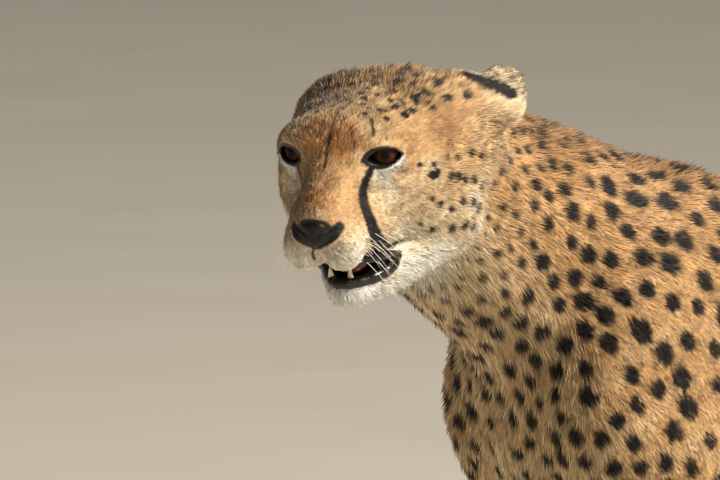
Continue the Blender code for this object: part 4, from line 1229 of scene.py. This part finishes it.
def teeth_rows():
    """Base, tip, root radius and bow of each canine, in the head's own axes."""
    rows = []
    for s in SIDES.values():
        bow, aside = (0, -0.0012, 0), LOWER_TEETH_ASIDE
        rows.append(((s * 0.0125, -0.0410, -0.0620), (s * 0.0130, -0.0440, -0.0750), 0.0034, bow))
        base, tip = (s * 0.0075 + aside, -0.0250, -0.0900), (s * 0.0080 + aside, -0.0260, -0.0755)
        rows.append((base, tip, 0.0030, bow))
    return rows


def claw_rows():
    """Base, tip, root radius and bow of the claw on each of the sixteen toes."""
    rows = []
    for limb, long in PAW_LONG.items():
        for side in SIDES:
            x, y = paw_at(limb, side)
            for place in TOE_PLACES:
                front = y - long + TOE_BACK * place**2 - 0.010
                base = (x + place * 0.0165, front + 0.0010, 0.0135)
                tip = (x + place * 0.0172, front - 0.0165, 0.0048)
                rows.append((base, tip, 0.0028, (0, -0.0008, 0.0022)))
    return rows


# ---------------------------------------------------------------- making objects


def new_mesh(name, points, faces):
    """A mesh from points and equal-sided faces, both as arrays."""
    mesh = bpy.data.meshes.new(name)
    sides = faces.shape[1]
    mesh.vertices.add(len(points))
    mesh.vertices.foreach_set("co", np.ascontiguousarray(points, np.float32).ravel())
    mesh.loops.add(faces.size)
    mesh.loops.foreach_set("vertex_index", np.ascontiguousarray(faces, np.int32).ravel())
    mesh.polygons.add(len(faces))
    mesh.polygons.foreach_set("loop_start", np.arange(0, faces.size, sides, dtype=np.int32))
    mesh.update(calc_edges=True)
    return mesh


def give(mesh, name, values):
    """An attribute on the points of a mesh: one number each, or a colour of three."""
    values = np.asarray(values, np.float32)
    if values.ndim == 1:
        mesh.attributes.new(name, "FLOAT", "POINT").data.foreach_set("value", values)
        return
    full = np.ones((len(values), 4), np.float32)
    full[:, :3] = values
    mesh.attributes.new(name, "FLOAT_COLOR", "POINT").data.foreach_set("color", full.ravel())


def add_object(name, data):
    made = bpy.data.objects.new(name, data)
    bpy.context.scene.collection.objects.link(made)
    return made


def add_piece(name, mesh, finish, replaces=()):
    """An object that rides on the animal, in its finish, and stands for the nodes that it replaces."""
    made = add_object(name, mesh)
    mesh.materials.clear()
    mesh.materials.append(finish)
    mesh.shade_smooth()
    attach(made, "root")
    if replaces:
        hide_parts(*replaces)


# ---------------------------------------------------------------- coat


def unwrap(mesh):
    """Lays the skin out flat by its own shape in the map OFBake."""
    helper = add_object("helper", mesh)
    bpy.context.view_layer.objects.active = helper
    helper.select_set(True)
    mesh.uv_layers.new(name="OFBake")
    bpy.ops.object.mode_set(mode="EDIT")
    bpy.ops.mesh.select_all(action="SELECT")
    bpy.ops.uv.smart_project(angle_limit=math.radians(72), island_margin=0.002, scale_to_bounds=True)
    bpy.ops.object.mode_set(mode="OBJECT")
    bpy.data.objects.remove(helper, do_unlink=True)


TUFT_UV = single(((-1, -1), (1, -1), (0, 0.2), (0, 1))) * 0.0015
TUFT_FACES = np.array(((0, 3, 2), (2, 3, 1), (0, 2, 1), (0, 1, 3)))


class Coat:
    """Tufts on a skin: each is a slim closed spike with a ridge, rooted in it, lying along its heading."""

    def __init__(self, mesh, spots):
        """Roots spread by area and by how much of it a tuft covers there."""
        flat = np.empty(len(mesh.loops), np.int32)
        mesh.loops.foreach_get("vertex_index", flat)
        corners = flat.reshape(-1, 3)
        points = column(mesh.vertices, "co", 3)
        normals = column(mesh.vertices, "normal", 3)
        uv = column(mesh.uv_layers["OFBake"].data, "uv", 2).reshape(-1, 3, 2)
        combed = comb(points, [*HEADING, LONG])
        bare = markings(points, normals, spots)[1]
        middle = points[corners].mean(1)
        away = np.linalg.norm(middle - Grid.MIDDLE, axis=1)
        first, second, third = (points[corners[:, i]] for i in range(3))
        area = 0.5 * np.linalg.norm(np.cross(second - first, third - first), axis=1)
        long = combed[corners, 3].mean(1) / 1000
        wide = self.breadth(long, away)
        share = area * (1 - bare[corners].max(1)) / (long * wide) * (1 + 1.5 * smooth(0.45, 0.20, away))
        count = COAT_TRIANGLES // len(TUFT_FACES)
        running = np.cumsum(share)
        face = np.searchsorted(running, (np.arange(count) + 0.5) * running[-1] / count)
        a, b = random.random((2, count)).astype(np.float32)
        turned = a + b > 1
        a[turned], b[turned] = 1 - a[turned], 1 - b[turned]
        weight = np.stack([1 - a - b, a, b], 1)[:, :, None]
        rows = corners[face]
        self.root = (points[rows] * weight).sum(1)
        self.up = unit((normals[rows] * weight).sum(1))
        way = (combed[rows][:, :, :3] * weight).sum(1)
        self.uv = (uv[face] * weight).sum(1)
        long = (combed[rows][:, :, 3:] * weight).sum(1)[:, 0] / 1000
        away = np.linalg.norm(self.root - Grid.MIDDLE, axis=1)
        self.wide = self.breadth(long, away) * random.uniform(0.8, 1.25, count)
        self.long = long * random.uniform(0.7, 1.25, count)
        swirl = 0.22 * waves(self.root, 0.012, 21) + 0.18 * waves(self.root, 0.035, 22)
        swirl = swirl + random.normal(0, 0.10, count)
        way = unit(way - (way * self.up).sum(1)[:, None] * self.up)
        side = np.cross(self.up, way)
        self.way = way * np.cos(swirl)[:, None] + side * np.sin(swirl)[:, None]
        self.side = np.cross(self.up, self.way)
        depth = comb(self.root, [DEPTH])[:, 0] / 1000
        self.lift = np.clip(depth / long, 0.14, 0.5) * random.uniform(0.5, 1.5, count)
        fine = np.stack([waves(self.root, 0.0028, 30 + i) for i in range(3)], 1)
        broad = np.stack([waves(self.root, 0.0090, 30 + i) for i in range(3)], 1)
        self.ruffle = 0.38 * fine + 0.22 * broad
        self.clump = 1 + 0.16 * waves(self.root, 0.0024, 41) + 0.10 * waves(self.root, 0.0080, 42)
        step = self.way * self.long[:, None]
        self.colour = markings(self.root + 0.25 * step, self.up, spots)[0]
        self.tip_colour = markings(self.root + 0.70 * step, self.up, spots)[0]

    @staticmethod
    def breadth(long, away):
        """Breadth of a tuft from its length, and wider away from the head, where the coat is sparser."""
        return 0.00042 + 0.040 * long + 0.0009 * smooth(0.35, 0.80, away)

    def piece(self, name, chosen, finish):
        """Four corners for each chosen tuft: two at its root, a ridge between them, and the tip."""
        root, up, way, side = (part[chosen] for part in (self.root, self.up, self.way, self.side))
        long, wide, lift = (part[chosen][:, None] for part in (self.long, self.wide, self.lift))
        sunk = root - up * 0.0004
        corners = np.stack(
            [
                sunk - side * wide / 2,
                sunk + side * wide / 2,
                root + way * long * 0.35 + up * (long * 0.35 * lift * 1.5 + wide * 0.30),
                root + way * long * np.sqrt(1 - lift**2) + up * long * lift,
            ],
            1,
        )
        count = len(root)
        faces = (TUFT_FACES[None] + 4 * np.arange(count)[:, None, None]).reshape(-1, 3)
        mesh = new_mesh(name, corners.reshape(-1, 3) + CENTRE, faces)
        layer = mesh.uv_layers.new(name="OFBake")
        places = np.clip(self.uv[chosen][:, None] + TUFT_UV, 0.0005, 0.9995)
        layer.data.foreach_set("uv", places[:, TUFT_FACES].reshape(-1).astype(np.float32))
        draw = np.random.default_rng(len(name) + count)
        pale = (draw.normal(1.0, 0.20, count).clip(0.45, 1.7) * self.clump[chosen])[:, None, None]
        # Painted shade: each tuft's colour is darkened towards its root, deep in the coat where shade falls,
        # and painted lighter towards its tip.
        root_shade_tip_light = np.array((0.55, 0.55, 0.95, 1.22))[None, :, None]
        near, far = self.colour[chosen], self.tip_colour[chosen]
        colours = np.stack([near, near, (near + far) / 2, far], 1)
        give(mesh, "coat", (colours * pale * root_shade_tip_light).reshape(-1, 3).clip(0, 1))
        up = up + self.ruffle[chosen]
        round_normals = np.stack([up - 0.55 * side, up + 0.55 * side, up + 0.15 * way, up + 0.25 * way], 1)
        add_piece(name, mesh, finish)
        mesh.normals_split_custom_set_from_vertices(unit(round_normals).reshape(-1, 3))


# ---------------------------------------------------------------- finishes


class Wire:
    """A value running between shader nodes: arithmetic on it adds Math nodes."""

    def __init__(self, tree, socket):
        self.tree, self.socket = tree, socket

    def maths(self, operation, other):
        return add_node(self.tree, "ShaderNodeMath", {"operation": operation}, {0: self, 1: other})

    def __add__(self, other):
        return self.maths("ADD", other)

    def __mul__(self, other):
        return self.maths("MULTIPLY", other)

    __radd__, __rmul__ = __add__, __mul__


def add_node(tree, kind, settings=None, values=None, out=0):
    """Any node: its settings, then numbers or wires for its sockets. Gives one of its outputs as a Wire."""
    node = tree.nodes.new(kind)
    for name, value in (settings or {}).items():
        if name == "stops":
            ramp = node.color_ramp
            while len(ramp.elements) < len(value):
                ramp.elements.new(1.0)
            for element, (at, colour) in zip(ramp.elements, value):
                element.position, element.color = at, (*colour, 1)
        else:
            setattr(node, name, value)
    for key, value in (values or {}).items():
        if isinstance(value, Wire):
            tree.links.new(value.socket, node.inputs[key])
        else:
            node.inputs[key].default_value = value
    return Wire(tree, node.outputs[out])


class Finish:
    """A material with one Principled shader, and the nodes that feed it."""

    def __init__(self, name, **constants):
        self.material = bpy.data.materials.new(name)
        self.material.use_nodes = True
        self.tree = self.material.node_tree
        self.shader = self.tree.nodes["Principled BSDF"]
        for key, value in constants.items():
            self.shader.inputs[key.replace("_", " ")].default_value = value

    def node(self, kind, settings=None, values=None, out=0):
        return add_node(self.tree, kind, settings, values, out)

    def place(self):
        return self.node("ShaderNodeTexCoord", out="Object")

    def noise(self, scale, detail, where=None):
        values = {"Vector": where or self.place(), "Scale": scale, "Detail": detail}
        return self.node("ShaderNodeTexNoise", {}, values)

    def attribute(self, name, out="Color"):
        return self.node("ShaderNodeAttribute", {"attribute_name": name}, out=out)

    def multiply(self, share, first, second):
        """The first colour, darkened by the second as far as the share says."""
        settings = {"data_type": "RGBA", "blend_type": "MULTIPLY"}
        return self.node("ShaderNodeMix", settings, {0: share, 6: first, 7: second}, out=2)

    def ramp(self, value, stops):
        return self.node("ShaderNodeValToRGB", {"stops": stops}, {"Fac": value})

    def feed(self, socket, wire):
        self.tree.links.new(wire.socket, self.shader.inputs[socket])

    def bump(self, height, strength, distance):
        values = {"Height": height, "Strength": strength, "Distance": distance}
        self.feed("Normal", self.node("ShaderNodeBump", {}, values))


def skin_finish():
    """Short hair under the tufts: the markings, broken up by fine noise, and wet where the skin is."""
    made = Finish("coat_skin", Specular_IOR_Level=0.25)
    fine, broad = made.noise(900, 2), made.noise(120, 2)
    dim = made.ramp(fine * 0.6 + broad * 0.4, ((0.30, (0.45, 0.45, 0.45)), (0.65, (1, 1, 1))))
    made.feed("Base Color", made.multiply(0.85, made.attribute("coat"), dim))
    made.feed("Roughness", made.attribute("wet", "Fac") * -0.50 + 0.80)
    made.bump(fine * 0.5 + broad, 0.8, 0.0012)
    return made.material


def tuft_finish():
    """Fine short hair, a little glossy along its tips."""
    made = Finish(
        "coat_hair", Roughness=0.62, Specular_IOR_Level=0.30, Sheen_Weight=0.10, Sheen_Roughness=0.4
    )
    fleck = made.ramp(made.noise(1500, 1), ((0.3, (0.82, 0.82, 0.82)), (0.7, (1, 1, 1))))
    made.feed("Base Color", made.multiply(1.0, made.attribute("coat"), fleck))
    return made.material


def eye_finish():
    """Black pupil, dark amber iris with fine rays, dark rim and brown eye white, under a clear wet coat."""
    made = Finish(
        "eye_glass", Roughness=0.5, Coat_Weight=0.12, Coat_Roughness=0.02, Specular_IOR_Level=0.05
    )
    gaze, turn = made.attribute("gaze", "Fac"), made.attribute("turn", "Fac")
    rays = made.noise(9, 3, made.node("ShaderNodeCombineXYZ", {}, {"X": turn * 3.0, "Y": gaze * 1.5}))
    stops = (
        (0.000, shade(4, 3, 3)),
        (0.180, shade(4, 3, 3)),
        (0.205, shade(40, 21, 10)),
        (0.360, shade(82, 43, 20)),
        (0.480, shade(50, 25, 12)),
        (0.560, shade(14, 8, 6)),
        (0.700, shade(22, 15, 12)),
    )
    iris = made.ramp(gaze + rays * 0.03, stops)
    streak = made.ramp(rays, ((0.35, (0.55, 0.5, 0.45)), (0.65, (1, 1, 1))))
    made.feed("Base Color", made.multiply(0.8, iris, streak))
    return made.material


def leather_finish(name, colour, rough, cells, wet):
    """Bare skin: fine pebbles in colour, in height and in gloss."""
    made = Finish(name, Coat_Weight=wet, Coat_Roughness=0.12, Specular_IOR_Level=0.2)
    pebbles = made.node("ShaderNodeTexVoronoi", {}, {"Vector": made.place(), "Scale": cells})
    soft = made.noise(cells / 8, 3)
    stops = ((0.2, 0.7 * colour), (0.8, 1.5 * colour))
    made.feed("Base Color", made.ramp(soft * 0.6 + pebbles * 0.4, stops))
    made.feed("Roughness", soft * 0.2 + (rough - 0.1))
    made.bump(pebbles, 0.5, 0.0004)
    return made.material


def horn_finish(name, base, tip, rough, cells):
    """Horn or enamel: long soft streaks between two colours."""
    made = Finish(name, Coat_Weight=0.3, Coat_Roughness=0.15)
    soft = made.noise(cells, 3)
    made.feed("Base Color", made.ramp(soft, ((0.3, base), (0.7, tip))))
    made.feed("Roughness", soft * 0.2 + (rough - 0.1))
    made.bump(soft, 0.2, 0.0002)
    return made.material


# ---------------------------------------------------------------- the studio

AIM = Vector((0.0855, -0.661, 0.748))
CAMERA_AZIMUTH, CAMERA_ELEVATION = 50, 5  # degrees
CAMERA_AWAY, VIEW_WIDTH, SENSOR = 8.0, 0.533, 0.036


def point_at_aim(thing, azimuth, elevation, away):
    """Puts a light or the camera this far from the aim, in a direction in degrees, and turns it there."""
    azimuth, elevation = math.radians(azimuth), math.radians(elevation)
    flat = math.cos(elevation)
    towards = Vector((math.sin(azimuth) * flat, -math.cos(azimuth) * flat, math.sin(elevation)))
    thing.location = AIM + towards * away
    thing.rotation_euler = (-towards).to_track_quat("-Z", "Y").to_euler()


def add_camera():
    data = bpy.data.cameras.new("camera")
    data.sensor_width = SENSOR * 1000
    data.lens = SENSOR * 1000 * CAMERA_AWAY / VIEW_WIDTH
    data.clip_end = 60
    camera = add_object("camera", data)
    point_at_aim(camera, CAMERA_AZIMUTH, CAMERA_ELEVATION, CAMERA_AWAY)
    bpy.context.scene.camera = camera


def add_light(name, azimuth, elevation, away, size, power, colour):
    data = bpy.data.lights.new(name, "AREA")
    data.size, data.energy, data.color = size, power, colour
    point_at_aim(add_object(name, data), azimuth, elevation, away)


def add_studio():
    """A pale floor, a pale soft room, a warm key light from high on the animal's left and a weak fill."""
    finish = Finish("studio_floor", Roughness=0.7)
    stops = ((0.3, shade(236, 227, 208)), (0.7, shade(240, 232, 214)))
    finish.feed("Base Color", finish.ramp(finish.noise(3, 2), stops))
    half = 14.0
    corners = np.array(((-half, -half, 0), (half, -half, 0), (half, half, 0), (-half, half, 0)))
    floor = add_object("floor", new_mesh("floor", corners, np.array(((0, 1, 2, 3),))))
    floor.data.materials.append(finish.material)
    world = bpy.data.worlds.new("room")
    world.use_nodes = True
    back = world.node_tree.nodes["Background"]
    back.inputs["Color"].default_value = (*shade(222, 220, 215), 1)
    back.inputs["Strength"].default_value = 0.29
    bpy.context.scene.world = world
    warm, cool = (1.0, 0.93, 0.84), (0.96, 0.98, 1.0)
    add_light("key", azimuth=108, elevation=34, away=12.0, size=2.6, power=2620, colour=warm)
    add_light("fill", azimuth=60, elevation=10, away=4.0, size=3.0, power=12, colour=cool)
    bpy.context.scene.view_settings.view_transform = "Standard"


# ---------------------------------------------------------------- the animal

FLESH_NODES = (
    "head", "neck", "torso", "hindquarters", "tail_root", "tail_middle", "tail_tip", "ear_left", "ear_right",
    *(f"{limb}_{part}_{side}" for limb in LIMBS for part in ("leg", "paw") for side in SIDES),
)


def add_skin_and_coat():
    mesh = skin_mesh()
    points, normals = column(mesh.vertices, "co", 3), column(mesh.vertices, "normal", 3)
    spots = Spots(points, normals)
    colour, _, wet = markings(points, normals, spots)
    unwrap(mesh)
    coat = Coat(mesh, spots)
    give(mesh, "coat", colour)
    give(mesh, "wet", wet)
    mesh.vertices.foreach_set("co", (points + CENTRE).ravel())
    mesh.update()
    add_piece("skin", mesh, skin_finish(), FLESH_NODES)
    hair = tuft_finish()
    count = len(coat.root)
    pieces = math.ceil(count * len(TUFT_FACES) / PIECE_TRIANGLES)
    for number in range(pieces):
        coat.piece(f"coat_{number + 1}", np.arange(number, count, pieces), hair)


def add_small_pieces():
    leather = leather_finish("nose_leather", shade(9, 7, 8), 0.34, 1400, 0.10)
    lips = leather_finish("lip_leather", shade(12, 10, 11), 0.34, 700, 0.35)
    # The tongue's own red-pink, darkened by painted shade as inside the mouth.
    tongue = leather_finish("tongue_flesh", shade(112, 48, 46), 0.45, 1200, 0.4)
    enamel = horn_finish("tooth_enamel", shade(206, 184, 140), shade(236, 222, 188), 0.25, 300)
    horn = horn_finish("claw_horn", shade(44, 36, 32), shade(88, 76, 66), 0.35, 400)
    eye = eye_finish()
    hairs = horn_finish("whisker_hair", shade(226, 222, 212), shade(244, 242, 236), 0.4, 200)
    for side in SIDES:
        add_piece(f"eyeball_{side}", eyeball(side), eye, (f"eye_{side}",))
    nose = carved("nose_pad", (-0.030, -0.085, -0.070), (0.030, -0.040, -0.020), 0.0006, add_nose)
    add_piece("nose_pad", nose, leather, ("nose",))
    body = carved("tongue_body", (-0.030, -0.060, -0.110), (0.030, 0.050, -0.060), 0.0012, add_tongue)
    add_piece("tongue_body", body, tongue, ("tongue",))
    small = carved("small_teeth", (-0.020, -0.060, -0.100), (0.024, -0.015, -0.055), 0.0005, add_incisors)
    add_piece("small_teeth", small, enamel, ("upper_incisors", "lower_incisors"))
    canines = tuple(f"{jaw}_canine_{side}" for jaw in ("upper", "lower") for side in SIDES)
    add_piece("canines", spikes("canines", teeth_rows()), enamel, canines)
    claws = tuple(f"claw_{limb}_{side}_{n}" for limb in LIMBS for side in SIDES for n in (1, 2, 3, 4))
    add_piece("claws", spikes("claws", claw_rows(), turn_in_head=False), horn, claws)
    add_piece("lower_lip", lip("lower_lip", LOWER_LIP, JAW_ASIDE, JAW_SLIM), lips)
    add_piece("upper_lip", lip("upper_lip", UPPER_LIP), lips)
    add_piece("whiskers", whiskers(), hairs)


add_studio()
add_camera()
add_skin_and_coat()
add_small_pieces()
